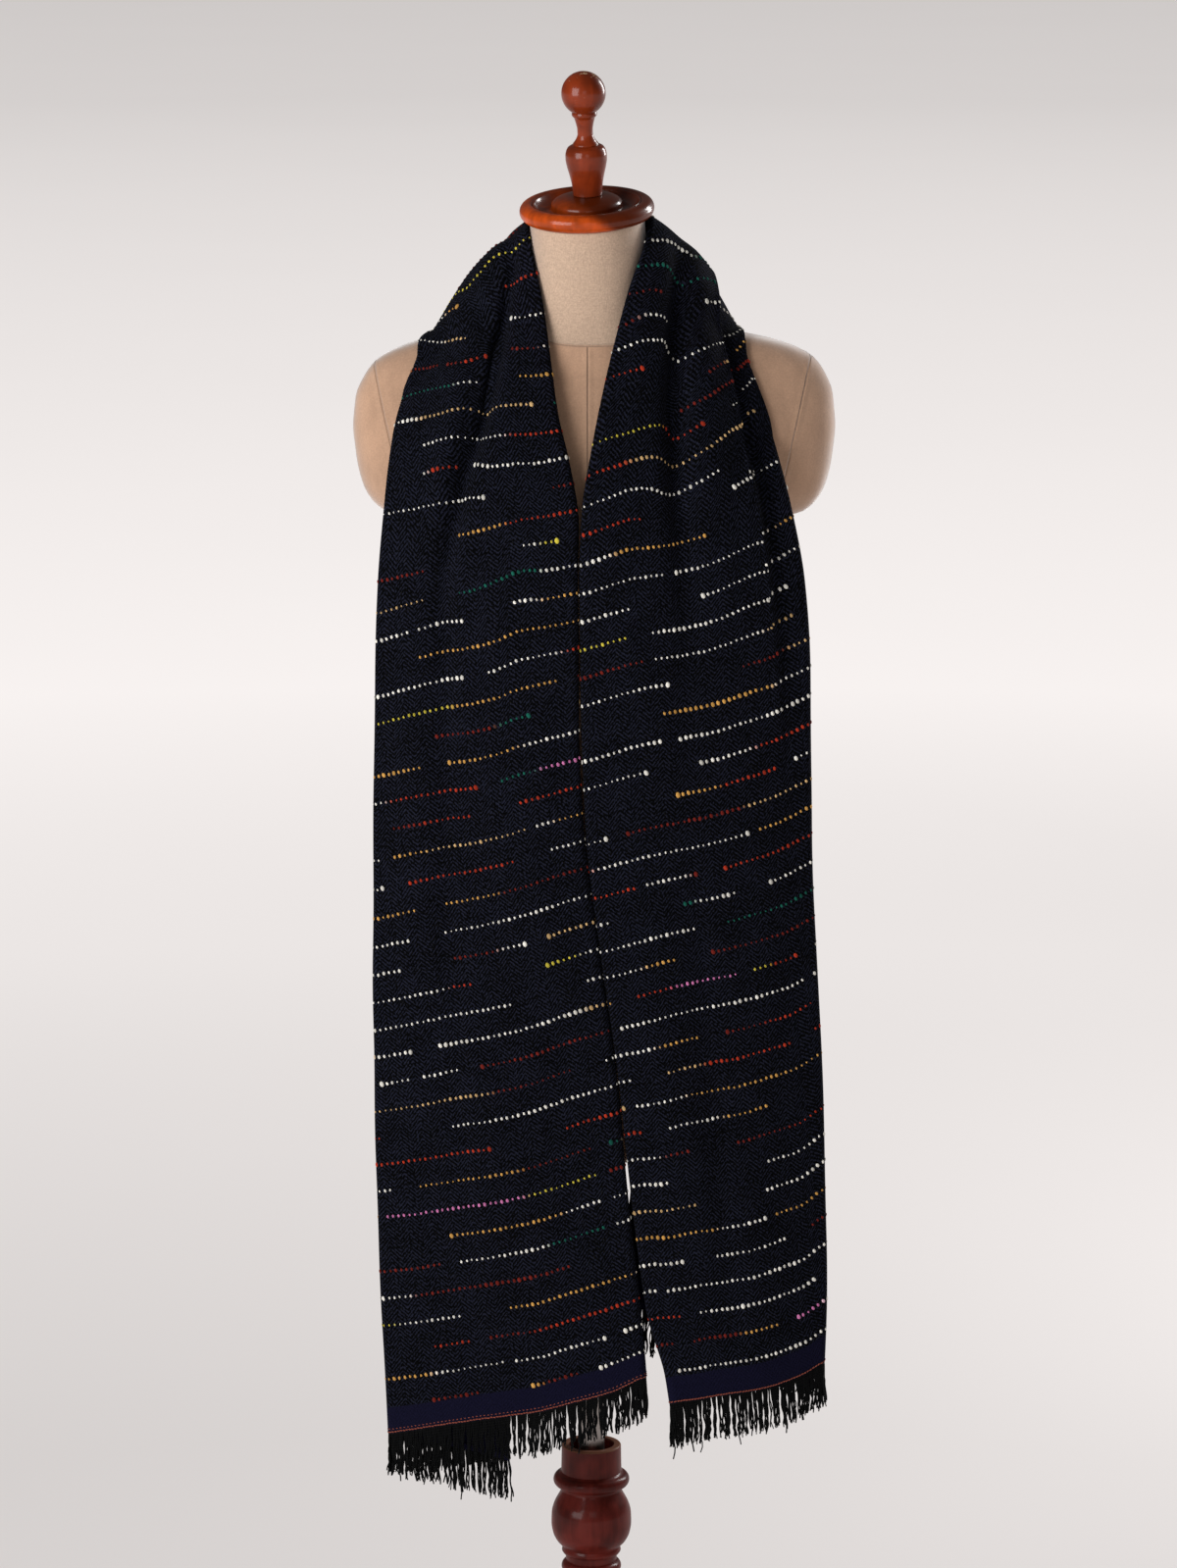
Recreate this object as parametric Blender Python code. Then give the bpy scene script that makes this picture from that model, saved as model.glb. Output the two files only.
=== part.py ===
"""A long fringed scarf, folded lengthwise and hung over a limbless dress form on a turned stand.

Metres, +Z up. The front faces -Y and +X is to the right of a viewer in front. The origin is the
centre of the base's underside. "Left" and "right" are as that viewer sees them.
"""

import math
import random

import bmesh
import bpy
import numpy as np
from mathutils import Vector
from mathutils.bvhtree import BVHTree

# ---------------------------------------------------------------- driving sizes
GAP = 0.0003
MERGE = 0.000001

CLOTH_WIDTH = 0.350
WALL = 0.0018
TUCK = 0.009
IN_ROLL_OF_FULL_TUCK = 0.005
CLEARANCE = 0.0014
LAYER_STEP = 0.0040
SHEAR_LEFT = -0.216
SHEAR_RIGHT = -0.290
SHEAR_CENTRE = 0.115
LEFT_HEM_Z = 0.5745
RIGHT_HEM_Z = 0.5960

STRIP_HEIGHT = 0.0024
STRANDS = 84
STRAND_LENGTH = 0.034
STRAND_SWAY = 0.0007

NECK_TOP_Z = 1.530
NECK_CENTRE = (-0.0034, -0.012)
NECK_LEAN_FROM_Z = 1.44
NECK_NOD = math.radians(9.8)
NECK_ROLL = math.radians(2.4)

FORM_BOTTOM_Z = 0.770
SOCKET_TOP_Z = 0.890
POLE_RADIUS = 0.0110
SOCKET_RADIUS = 0.01118
POLE_IN_POST = 0.200
POST_TOP_Z = 0.500
BORE_BOTTOM_Z = 0.180
CUP_BORE_RADIUS = 0.0190
CUP_BORE_DEPTH = 0.022

BASE_RADIUS = 0.205
BASE_HEIGHT = 0.034

SIDES_LARGE = 40
SIDES_ROUND = 24
SIDES_SMALL = 18

# ---------------------------------------------------------------- short tables
# Dress form, at each height: half width, reach to the front and to the back, and the half width
# and half depth of the shoulder caps (0.01 where there are none).
FORM_COLUMNS = ("z", "side", "front", "back", "cap", "cap_depth")
FORM_ROWS = (
    (0.770, 0.160, 0.098, 0.100, 0.010, 0.010),
    (0.800, 0.163, 0.102, 0.105, 0.010, 0.010),
    (0.850, 0.161, 0.102, 0.106, 0.010, 0.010),
    (0.910, 0.151, 0.098, 0.098, 0.010, 0.010),
    (0.960, 0.136, 0.090, 0.084, 0.010, 0.010),
    (1.010, 0.121, 0.081, 0.071, 0.010, 0.010),
    (1.060, 0.113, 0.077, 0.065, 0.010, 0.010),
    (1.110, 0.119, 0.085, 0.072, 0.010, 0.010),
    (1.160, 0.131, 0.102, 0.085, 0.010, 0.010),
    (1.200, 0.141, 0.117, 0.094, 0.010, 0.010),
    (1.240, 0.147, 0.124, 0.100, 0.010, 0.010),
    (1.270, 0.149, 0.121, 0.102, 0.010, 0.010),
    (1.284, 0.150, 0.118, 0.102, 0.154, 0.020),
    (1.288, 0.151, 0.117, 0.102, 0.169, 0.036),
    (1.296, 0.152, 0.115, 0.102, 0.179, 0.044),
    (1.308, 0.153, 0.111, 0.101, 0.187, 0.050),
    (1.325, 0.153, 0.106, 0.100, 0.193, 0.055),
    (1.345, 0.151, 0.100, 0.098, 0.1965, 0.058),
    (1.366, 0.146, 0.092, 0.092, 0.1980, 0.057),
    (1.386, 0.136, 0.084, 0.085, 0.1955, 0.051),
    (1.402, 0.124, 0.077, 0.079, 0.1895, 0.045),
    (1.414, 0.110, 0.072, 0.073, 0.1800, 0.040),
    (1.423, 0.098, 0.069, 0.069, 0.1640, 0.036),
    (1.431, 0.086, 0.066, 0.065, 0.1420, 0.033),
    (1.4385, 0.074, 0.064, 0.061, 0.1200, 0.030),
    (1.448, 0.062, 0.062, 0.056, 0.0950, 0.027),
    (1.460, 0.054, 0.0605, 0.050, 0.0700, 0.024),
    (1.480, 0.049, 0.0595, 0.043, 0.0400, 0.020),
    (1.505, 0.047, 0.0590, 0.037, 0.0100, 0.010),
    (1.530, 0.046, 0.0590, 0.035, 0.0100, 0.010),
)
FORM_SQUARENESS = 2.25
CAP_SQUARENESS = 2.9
FORM_BLEND = 6.0
SMOOTH_TORSO_DEG = 70.0

# Cloth, one row for each section, from the left hem over the shoulders to the right hem: the edge
# beside the middle (in), the outer fold (out), how far the front layer stands off the chord between
# them, the radii of the two folded edges, and the place and depth of the long valley and of the
# overlapping pleat. A place is a share of the width from the inner edge.
CLOTH_COLUMNS = (
    "in_x", "in_y", "in_z", "out_x", "out_y", "out_z",
    "bulge", "in_roll", "out_roll", "valley", "valley_depth", "pleat", "pleat_depth",
)
CLOTH_ROWS = (
    (0.0480, -0.1370, 0.480, -0.1630, -0.1130, 0.480, 0.008, 0.0050, 0.0056, 0.64, 0.000, 0.87, 0.000),
    (0.0435, -0.1375, 0.600, -0.1695, -0.1125, 0.600, 0.009, 0.0050, 0.0056, 0.64, 0.001, 0.87, 0.000),
    (0.0302, -0.1380, 0.740, -0.1735, -0.1110, 0.740, 0.010, 0.0050, 0.0056, 0.64, 0.002, 0.87, 0.000),
    (0.0190, -0.1385, 0.850, -0.1752, -0.1090, 0.850, 0.011, 0.0050, 0.0056, 0.64, 0.002, 0.87, 0.000),
    (0.0055, -0.1390, 0.950, -0.1755, -0.1070, 0.950, 0.011, 0.0050, 0.0056, 0.64, 0.002, 0.87, 0.000),
    (-0.0075, -0.1390, 1.050, -0.1750, -0.1045, 1.050, 0.011, 0.0050, 0.0056, 0.64, 0.003, 0.87, 0.000),
    (-0.0116, -0.1390, 1.170, -0.1730, -0.1010, 1.170, 0.011, 0.0050, 0.0056, 0.64, 0.005, 0.87, 0.000),
    (-0.0122, -0.1390, 1.250, -0.1695, -0.0960, 1.250, 0.011, 0.0048, 0.0054, 0.62, 0.009, 0.87, 0.000),
    (-0.0118, -0.1340, 1.300, -0.1655, -0.0890, 1.298, 0.011, 0.0045, 0.0052, 0.57, 0.013, 0.87, 0.000),
    (-0.0190, -0.1210, 1.345, -0.1615, -0.0790, 1.338, 0.011, 0.0040, 0.0050, 0.49, 0.015, 0.87, 0.000),
    (-0.0285, -0.1040, 1.385, -0.1570, -0.0620, 1.370, 0.011, 0.0036, 0.0048, 0.43, 0.016, 0.86, 0.000),
    (-0.0340, -0.0850, 1.425, -0.1515, -0.0410, 1.398, 0.012, 0.0030, 0.0042, 0.34, 0.015, 0.85, 0.000),
    (-0.0395, -0.0640, 1.463, -0.1445, -0.0180, 1.421, 0.013, 0.0024, 0.0036, 0.29, 0.013, 0.84, 0.000),
    (-0.0470, -0.0400, 1.492, -0.1375, 0.0060, 1.436, 0.014, 0.0020, 0.0032, 0.25, 0.009, 0.82, 0.000),
    (-0.0545, -0.0130, 1.512, -0.1290, 0.0340, 1.434, 0.014, 0.0018, 0.0030, 0.22, 0.005, 0.80, 0.000),
    (-0.0545, 0.0130, 1.518, -0.1150, 0.0640, 1.418, 0.013, 0.0018, 0.0030, 0.24, 0.005, 0.76, 0.001),
    (-0.0390, 0.0330, 1.519, -0.0870, 0.0900, 1.394, 0.011, 0.0018, 0.0030, 0.28, 0.006, 0.72, 0.002),
    (-0.0030, 0.0430, 1.520, 0.0000, 0.1080, 1.374, 0.010, 0.0018, 0.0030, 0.34, 0.006, 0.68, 0.004),
    (0.0330, 0.0330, 1.522, 0.0780, 0.0920, 1.395, 0.011, 0.0018, 0.0030, 0.30, 0.006, 0.64, 0.004),
    (0.0475, 0.0120, 1.523, 0.1020, 0.0660, 1.419, 0.014, 0.0018, 0.0030, 0.26, 0.005, 0.60, 0.004),
    (0.0475, -0.0120, 1.519, 0.1140, 0.0350, 1.440, 0.016, 0.0018, 0.0034, 0.24, 0.005, 0.60, 0.004),
    (0.0420, -0.0350, 1.502, 0.1200, 0.0060, 1.446, 0.015, 0.0020, 0.0036, 0.29, 0.009, 0.68, 0.005),
    (0.0310, -0.0560, 1.476, 0.1270, -0.0200, 1.427, 0.013, 0.0024, 0.0042, 0.37, 0.013, 0.78, 0.007),
    (0.0205, -0.0800, 1.441, 0.1350, -0.0430, 1.401, 0.012, 0.0030, 0.0044, 0.40, 0.015, 0.83, 0.007),
    (0.0115, -0.0980, 1.403, 0.1425, -0.0580, 1.374, 0.011, 0.0036, 0.0048, 0.41, 0.015, 0.85, 0.007),
    (0.0025, -0.1180, 1.360, 0.1510, -0.0740, 1.346, 0.011, 0.0040, 0.0050, 0.425, 0.013, 0.86, 0.007),
    (-0.0055, -0.1330, 1.310, 0.1605, -0.0880, 1.308, 0.011, 0.0045, 0.0052, 0.44, 0.009, 0.875, 0.006),
    (-0.0080, -0.1390, 1.250, 0.1700, -0.0930, 1.250, 0.011, 0.0048, 0.0054, 0.45, 0.004, 0.87, 0.005),
    (-0.0072, -0.1390, 1.170, 0.1750, -0.0980, 1.170, 0.011, 0.0050, 0.0056, 0.45, 0.002, 0.87, 0.002),
    (-0.0033, -0.1390, 1.050, 0.1768, -0.1010, 1.050, 0.011, 0.0050, 0.0056, 0.45, 0.001, 0.87, 0.000),
    (0.0100, -0.1390, 0.950, 0.1815, -0.1025, 0.950, 0.011, 0.0050, 0.0056, 0.45, 0.002, 0.87, 0.000),
    (0.0235, -0.1385, 0.850, 0.1862, -0.1035, 0.850, 0.011, 0.0050, 0.0056, 0.45, 0.002, 0.87, 0.000),
    (0.0348, -0.1380, 0.740, 0.1908, -0.1040, 0.740, 0.010, 0.0050, 0.0056, 0.45, 0.002, 0.87, 0.000),
    (0.0460, -0.1375, 0.655, 0.1930, -0.1040, 0.655, 0.009, 0.0050, 0.0056, 0.45, 0.001, 0.87, 0.000),
    (0.0620, -0.1370, 0.600, 0.1910, -0.1040, 0.600, 0.008, 0.0050, 0.0056, 0.45, 0.000, 0.87, 0.000),
    (0.0780, -0.1370, 0.480, 0.1870, -0.1040, 0.480, 0.007, 0.0050, 0.0056, 0.45, 0.000, 0.87, 0.000),
)
LEFT_CHEST_ROW = 7
NECK_FROM_ROW = 14
NECK_TO_ROW = 20
RIGHT_CHEST_ROW = 27
VALLEY_WIDTH = 0.012
PLEAT_WIDTH = 0.0045
PLEAT_OVERHANG = 0.006
REAR_DROP = 0.014
REAR_DROP_BELOW_Z = 0.95
REAR_SHARE = 0.70
REAR_FREE_BELOW_Z = 1.00

# Columns of the cloth's mesh in each part of a section, and the cloth's rows in each stretch.
TUCK_COLUMNS = 4
LOBE_COLUMNS = (5, 5, 4)
OUT_ROLL_COLUMNS = 3
REAR_COLUMNS = 5
HANGING_ROWS = 9
DRAPED_ROWS = 17
NECK_ROWS = 13
LIFT_ROUNDS = 5
FORM_SIDES = 32

random.seed(7)


# ---------------------------------------------------------------- helpers
def clear_scene():
    for thing in list(bpy.data.objects):
        bpy.data.objects.remove(thing, do_unlink=True)


def material(name, colour, roughness, metallic=0.0):
    made = bpy.data.materials.new(name)
    made.use_nodes = True
    shader = made.node_tree.nodes["Principled BSDF"]
    shader.inputs["Base Color"].default_value = (*colour, 1.0)
    shader.inputs["Roughness"].default_value = roughness
    shader.inputs["Metallic"].default_value = metallic
    return made


def add_object(name, points, faces, finish, smooth_angle=35.0):
    mesh = bpy.data.meshes.new(name)
    mesh.from_pydata([tuple(point) for point in points], [], faces)
    mesh.materials.append(finish)
    mesh.shade_smooth()
    mesh.set_sharp_from_angle(angle=math.radians(smooth_angle))
    made = bpy.data.objects.new(name, mesh)
    bpy.context.collection.objects.link(made)
    return made


def arc(centre, radius, start_deg, end_deg, steps):
    """Points of a turned profile along an arc, as (distance from the axis, height)."""
    points = []
    for step in range(steps + 1):
        angle = math.radians(start_deg + (end_deg - start_deg) * step / steps)
        points.append((centre[0] + radius * math.cos(angle), centre[1] + radius * math.sin(angle)))
    return points


def turned(name, profile, sides, finish):
    """Spins a profile round the Z axis. It starts and ends on the axis."""
    mesh = bmesh.new()
    verts = [mesh.verts.new((radius, 0.0, height)) for radius, height in profile]
    edges = [mesh.edges.new(pair) for pair in zip(verts, verts[1:])]
    bmesh.ops.spin(
        mesh, geom=verts + edges, cent=(0, 0, 0), axis=(0, 0, 1),
        angle=math.tau, steps=sides, use_merge=True,
    )
    bmesh.ops.remove_doubles(mesh, verts=mesh.verts, dist=MERGE)
    bmesh.ops.recalc_face_normals(mesh, faces=mesh.faces)
    data = bpy.data.meshes.new(name)
    mesh.to_mesh(data)
    mesh.free()
    data.materials.append(finish)
    data.shade_smooth()
    data.set_sharp_from_angle(angle=math.radians(35.0))
    made = bpy.data.objects.new(name, data)
    bpy.context.collection.objects.link(made)
    return made


def smooth_columns(places, table, at):
    """Each column of the table at the given places, along cubic curves that don't overshoot."""
    places = np.asarray(places, float)
    table = np.asarray(table, float)
    at = np.clip(np.asarray(at, float), places[0], places[-1])
    span = np.diff(places)[:, None]
    rise = np.diff(table, axis=0) / span
    slope = np.zeros_like(table)
    same_way = rise[:-1] * rise[1:] > 0
    total = np.where(same_way, rise[:-1] + rise[1:], 1.0)
    slope[1:-1] = np.where(same_way, 2.0 * rise[:-1] * rise[1:] / total, 0.0)
    slope[0] = rise[0]
    slope[-1] = rise[-1]
    cell = np.clip(np.searchsorted(places, at, side="right") - 1, 0, len(places) - 2)
    step = span[cell, 0]
    t = ((at - places[cell]) / step)[..., None]
    step = step[..., None]
    keep = (1 + 2 * t) * (1 - t) ** 2
    reach = t * t * (3 - 2 * t)
    return (
        keep * table[cell]
        + reach * table[cell + 1]
        + t * (1 - t) ** 2 * step * slope[cell]
        - t * t * (1 - t) * step * slope[cell + 1]
    )


def soft_step(value):
    value = np.clip(value, 0.0, 1.0)
    return value * value * (3 - 2 * value)


# ---------------------------------------------------------------- dress form
def form_ring(height, sides):
    """One level ring of the dress form: the body and the shoulder caps, melted together."""
    heights = [row[0] for row in FORM_ROWS]
    sizes = dict(zip(FORM_COLUMNS[1:], smooth_columns(heights, [row[1:] for row in FORM_ROWS], height)))
    turn = np.arange(sides) / sides * math.tau
    angle = np.arctan2(0.55 * np.sin(turn), np.cos(turn))
    across = np.abs(np.cos(angle))
    along = np.abs(np.sin(angle))
    depth = np.where(np.sin(angle) < 0, sizes["front"], sizes["back"])
    power = FORM_SQUARENESS
    body = ((across / sizes["side"]) ** power + (along / depth) ** power) ** (-1 / power)
    power = CAP_SQUARENESS
    caps = ((across / sizes["cap"]) ** power + (along / sizes["cap_depth"]) ** power) ** (-1 / power)
    radius = (body**FORM_BLEND + caps**FORM_BLEND) ** (1 / FORM_BLEND)
    up_neck = float(soft_step((height - NECK_LEAN_FROM_Z) / (NECK_TOP_Z - NECK_LEAN_FROM_Z)))
    x = radius * np.cos(angle) + up_neck * NECK_CENTRE[0]
    y = radius * np.sin(angle)
    tilt = math.tan(NECK_NOD) * (y - NECK_CENTRE[1]) + math.tan(NECK_ROLL) * (x - NECK_CENTRE[0])
    return np.stack([x, y, height + up_neck * tilt], axis=1)


def form_heights():
    """The table's own heights, with one more between those that lie far apart."""
    heights = []
    for low, high in zip(FORM_ROWS, FORM_ROWS[1:]):
        heights.append(low[0])
        if high[0] - low[0] > 0.045:
            heights.append((low[0] + high[0]) / 2)
    return heights + [FORM_ROWS[-1][0]]


def round_ring(radius, height, sides):
    turn = np.arange(sides) / sides * math.tau
    return np.stack([radius * np.cos(turn), radius * np.sin(turn), np.full(sides, height)], axis=1)


def make_torso(finish):
    """The body, closed at the neck, with a round socket for the pole in its flat underside."""
    socket = [
        round_ring(SOCKET_RADIUS, SOCKET_TOP_Z, FORM_SIDES),
        round_ring(SOCKET_RADIUS, FORM_BOTTOM_Z, FORM_SIDES),
    ]
    rings = socket + [form_ring(height, FORM_SIDES) for height in form_heights()]
    points = np.concatenate(rings)
    faces = [list(range(FORM_SIDES))]
    for ring in range(len(rings) - 1):
        low = ring * FORM_SIDES
        for side in range(FORM_SIDES):
            after = (side + 1) % FORM_SIDES
            faces.append([low + side, low + after, low + FORM_SIDES + after, low + FORM_SIDES + side])
    last = (len(rings) - 1) * FORM_SIDES
    faces.append([last + side for side in range(FORM_SIDES)])
    faces[0] = faces[0][::-1]
    return add_object("torso", points, faces, finish, SMOOTH_TORSO_DEG)


# ---------------------------------------------------------------- cloth
def cloth_places():
    """How far along the scarf each section of the table lies, from the first one."""
    rows = np.array(CLOTH_ROWS)
    middle = (rows[:, 0:3] + rows[:, 3:6]) / 2
    steps = np.linalg.norm(np.diff(middle, axis=0), axis=1)
    return np.concatenate([[0.0], np.cumsum(steps)])


CLOTH_PLACES = cloth_places()
NECK_FROM = float(CLOTH_PLACES[NECK_FROM_ROW])
NECK_TO = float(CLOTH_PLACES[NECK_TO_ROW])
LEFT_HEM = LEFT_HEM_Z - CLOTH_ROWS[0][2]
RIGHT_HEM = float(CLOTH_PLACES[-1]) - (RIGHT_HEM_Z - CLOTH_ROWS[-1][2])


def sections_at(along):
    values = smooth_columns(CLOTH_PLACES, CLOTH_ROWS, along)
    return {name: values[..., index] for index, name in enumerate(CLOTH_COLUMNS)}


def section_frame(along):
    """Inner edge, width, and the directions across the cloth and off its face, at each place."""
    here = sections_at(along)
    inner = np.stack([here["in_x"], here["in_y"], here["in_z"]], axis=-1)
    outer = np.stack([here["out_x"], here["out_y"], here["out_z"]], axis=-1)
    reach = 0.02
    ends = []
    for other in (sections_at(along - reach), sections_at(along + reach)):
        ends.append(np.stack([other["in_x"] + other["out_x"], other["in_y"] + other["out_y"],
                              other["in_z"] + other["out_z"]], axis=-1))
    onward = ends[1] - ends[0]
    width = np.linalg.norm(outer - inner, axis=-1)
    across = (outer - inner) / width[..., None]
    face = np.cross(onward, across)
    face /= np.linalg.norm(face, axis=-1)[..., None]
    return here, inner, width, across, face


def front_height(share, width, here):
    """How far the front layer stands off the chord, at a share of the width."""
    height = here["bulge"] * (1 - (2 * share - 1) ** 2)
    from_valley = (share - here["valley"]) * width / VALLEY_WIDTH
    height = height - here["valley_depth"] * np.exp(-from_valley**2)
    past_pleat = soft_step((share - here["pleat"]) * width / PLEAT_WIDTH + 0.5)
    back_up = 1 - soft_step((share - here["pleat"]) / (1.02 - here["pleat"]))
    return height - here["pleat_depth"] * past_pleat * back_up


def tuck_length(here):
    """The turned-in edge, shorter where it is rolled tighter beside the neck."""
    return TUCK * here["in_roll"] / IN_ROLL_OF_FULL_TUCK


def section_lengths(along):
    """Lengths of the inner roll, front, outer roll and rear layer of a section."""
    here, _, width, _, _ = section_frame(along)
    shares = np.linspace(0, 1, 61)
    heights = front_height(shares[:, None], width[None], {key: value[None] for key, value in here.items()})
    runs = np.sqrt((np.diff(shares)[:, None] * width[None]) ** 2 + np.diff(heights, axis=0) ** 2)
    inner = tuck_length(here) + math.pi * here["in_roll"]
    outer = math.pi * here["out_roll"]
    front = runs.sum(axis=0)
    rear = CLOTH_WIDTH - inner - outer - front
    return inner, front, outer, rear


def shear_at(along):
    share = soft_step((along - NECK_FROM) / (NECK_TO - NECK_FROM))
    return SHEAR_LEFT + (SHEAR_RIGHT - SHEAR_LEFT) * share


def cloth_points(row, column):
    """Middle of the cloth's wall. row is the distance along the scarf and column is 0 to 4:
    0-1 inner roll, 1-2 front layer, 2-3 outer roll, 3-4 rear layer."""
    row, column = np.broadcast_arrays(np.asarray(row, float), np.asarray(column, float))
    inner_run, front_run, outer_run, rear_run = section_lengths(row.ravel())
    part = np.clip(column.ravel(), 0, 4)
    run = (
        inner_run * np.clip(part, 0, 1)
        + front_run * np.clip(part - 1, 0, 1)
        + outer_run * np.clip(part - 2, 0, 1)
        + rear_run * np.clip(part - 3, 0, 1)
    )
    along = row.ravel() + shear_at(row.ravel()) * (run - SHEAR_CENTRE)
    here, inner, width, across, face = section_frame(along)
    in_roll = here["in_roll"]
    out_roll = here["out_roll"]
    flat = width - in_roll - out_roll

    tuck = tuck_length(here)
    tuck_share = tuck / (tuck + math.pi * in_roll)
    in_turn = math.pi * np.clip((part - tuck_share) / (1 - tuck_share), 0, 1)
    tucked = tuck * np.clip(1 - part / tuck_share, 0, 1)
    share = np.clip(part - 1, 0, 1)
    place = (in_roll + share * flat) / width
    out_turn = math.pi * np.clip(part - 2, 0, 1)
    free = soft_step((REAR_FREE_BELOW_Z - here["in_z"]) / 0.1)
    behind = np.minimum(rear_run, (REAR_SHARE + free) * width) * np.clip(part - 3, 0, 1)

    edge_lift = front_height(in_roll / width, width, here)
    fold_lift = front_height(1 - out_roll / width, width, here)
    low = along_height_share(inner, here)
    drop = REAR_DROP * low * np.clip(part - 3, 0, 1)
    offset = np.where(
        part <= 1,
        in_roll + tucked - in_roll * np.sin(in_turn),
        np.where(
            part <= 2,
            place * width,
            width - out_roll + out_roll * np.sin(out_turn) - behind,
        ),
    )
    under_front = front_height(np.clip(offset / width, 0, 1), width, here)
    rise = np.where(
        part <= 1,
        edge_lift - in_roll * (1 + np.cos(in_turn)),
        np.where(
            part <= 2,
            front_height(place, width, here),
            np.where(
                part <= 3,
                fold_lift - out_roll * (1 - np.cos(out_turn)),
                np.minimum(under_front, fold_lift) - 2 * out_roll - drop,
            ),
        ),
    )
    past_pleat = (share - here["pleat"]) * width / PLEAT_WIDTH
    overhang = PLEAT_OVERHANG * (here["pleat_depth"] / 0.007) * np.exp(-(past_pleat - 0.5) ** 2)
    offset = offset - np.where((part > 1) & (part <= 2), overhang, 0.0)
    points = inner + offset[:, None] * across + rise[:, None] * face
    layer = np.where(part <= 2, (1 - np.cos(in_turn)) / 2, (1 + np.cos(out_turn)) / 2)
    return points.reshape(*row.shape, 3), layer.reshape(row.shape)


def along_height_share(inner, here):
    """1 on the right panel's low stretch, where its rear layer passes behind the left panel."""
    on_right = soft_step((here["out_x"]) / 0.05)
    return on_right * soft_step((REAR_DROP_BELOW_Z - inner[:, 2]) / 0.15)


def way_out(point, wanted, form_tree):
    """The step that brings a point to the wanted distance outside the dress form."""
    near, normal, _, distance = form_tree.find_nearest(Vector(point))
    offset = Vector(point) - near
    inside = offset.dot(normal) < -0.9 * distance
    if distance >= wanted and not inside:
        return np.zeros(3)
    direction = normal if inside or distance < 1e-6 else offset / distance
    return np.array(near + direction * wanted) - point


def clear_of_form(points, layers, form_tree):
    """Moves points out of the dress form, the front layer by one layer more."""
    moved = points.copy()
    for index in np.ndindex(points.shape[:-1]):
        moved[index] += way_out(points[index], CLEARANCE + LAYER_STEP * layers[index], form_tree)
    return moved


def lift_faces(grid, layers, form_tree):
    """Moves the corners of a face out wherever the middle of the face or of an edge is too near."""
    spans = (((0, 0), (0, 1)), ((0, 0), (1, 0)), ((0, 0), (1, 1)), ((0, 1), (1, 0)))
    for _ in range(LIFT_ROUNDS):
        push = np.zeros_like(grid)
        for start, end in spans:
            for row in range(grid.shape[0] - max(start[0], end[0])):
                for column in range(grid.shape[1] - max(start[1], end[1])):
                    a = (row + start[0], column + start[1])
                    b = (row + end[0], column + end[1])
                    wanted = CLEARANCE + LAYER_STEP * min(layers[a], layers[b])
                    step = way_out((grid[a] + grid[b]) / 2, wanted, form_tree)
                    for corner in (a, b):
                        if np.dot(step, step) > np.dot(push[corner], push[corner]):
                            push[corner] = step
        grid = grid + push
    return grid


def cloth_columns():
    """Column places across the cloth, closer together where it folds."""
    columns = list(np.linspace(0, 1, TUCK_COLUMNS + 1)[:-1])
    columns += list(np.linspace(1, 2, sum(LOBE_COLUMNS) + 1)[:-1])
    columns += list(np.linspace(2, 3, OUT_ROLL_COLUMNS + 1)[:-1])
    columns += list(np.linspace(3, 4, REAR_COLUMNS + 1))
    return np.array(columns)


def aligned_columns(row, columns):
    """Slides the front layer's columns so that two of them run along the valley and the pleat."""
    here = sections_at(row)
    first = LOBE_COLUMNS[0] / sum(LOBE_COLUMNS)
    second = (LOBE_COLUMNS[0] + LOBE_COLUMNS[1]) / sum(LOBE_COLUMNS)
    share = np.clip(columns - 1, 0, 1)
    slid = np.interp(share, [0, first, second, 1], [0, float(here["valley"]), float(here["pleat"]), 1])
    return np.where((columns > 1) & (columns < 2), 1 + slid, columns)


def grid_normals(points):
    down = np.gradient(points, axis=0)
    over = np.gradient(points, axis=1)
    normals = np.cross(down, over)
    return normals / np.linalg.norm(normals, axis=-1)[..., None]


def wall_solid(name, points, normals, finish):
    """A closed wall of the cloth's thickness on both sides of a grid of points."""
    rows, columns = points.shape[:2]
    sides = (points + normals * WALL / 2, points - normals * WALL / 2)
    both = np.concatenate([side.reshape(-1, 3) for side in sides])
    back = rows * columns
    faces = []
    for row in range(rows - 1):
        for column in range(columns - 1):
            a = row * columns + column
            b = a + columns
            faces.append([a, b, b + 1, a + 1])
            faces.append([back + a, back + a + 1, back + b + 1, back + b])
    rim = list(range(columns))
    rim += [row * columns + columns - 1 for row in range(1, rows)]
    rim += [(rows - 1) * columns + column for column in range(columns - 2, -1, -1)]
    rim += [row * columns for row in range(rows - 2, 0, -1)]
    for pair in zip(rim, rim[1:] + rim[:1]):
        a, b = sorted(pair)
        faces.append([a, b, back + b])
        faces.append([a, back + b, back + a])
    made = add_object(name, both, faces, finish)
    outward(made)
    return made


def outward(thing):
    mesh = bmesh.new()
    mesh.from_mesh(thing.data)
    bmesh.ops.recalc_face_normals(mesh, faces=mesh.faces)
    mesh.to_mesh(thing.data)
    mesh.free()


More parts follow.
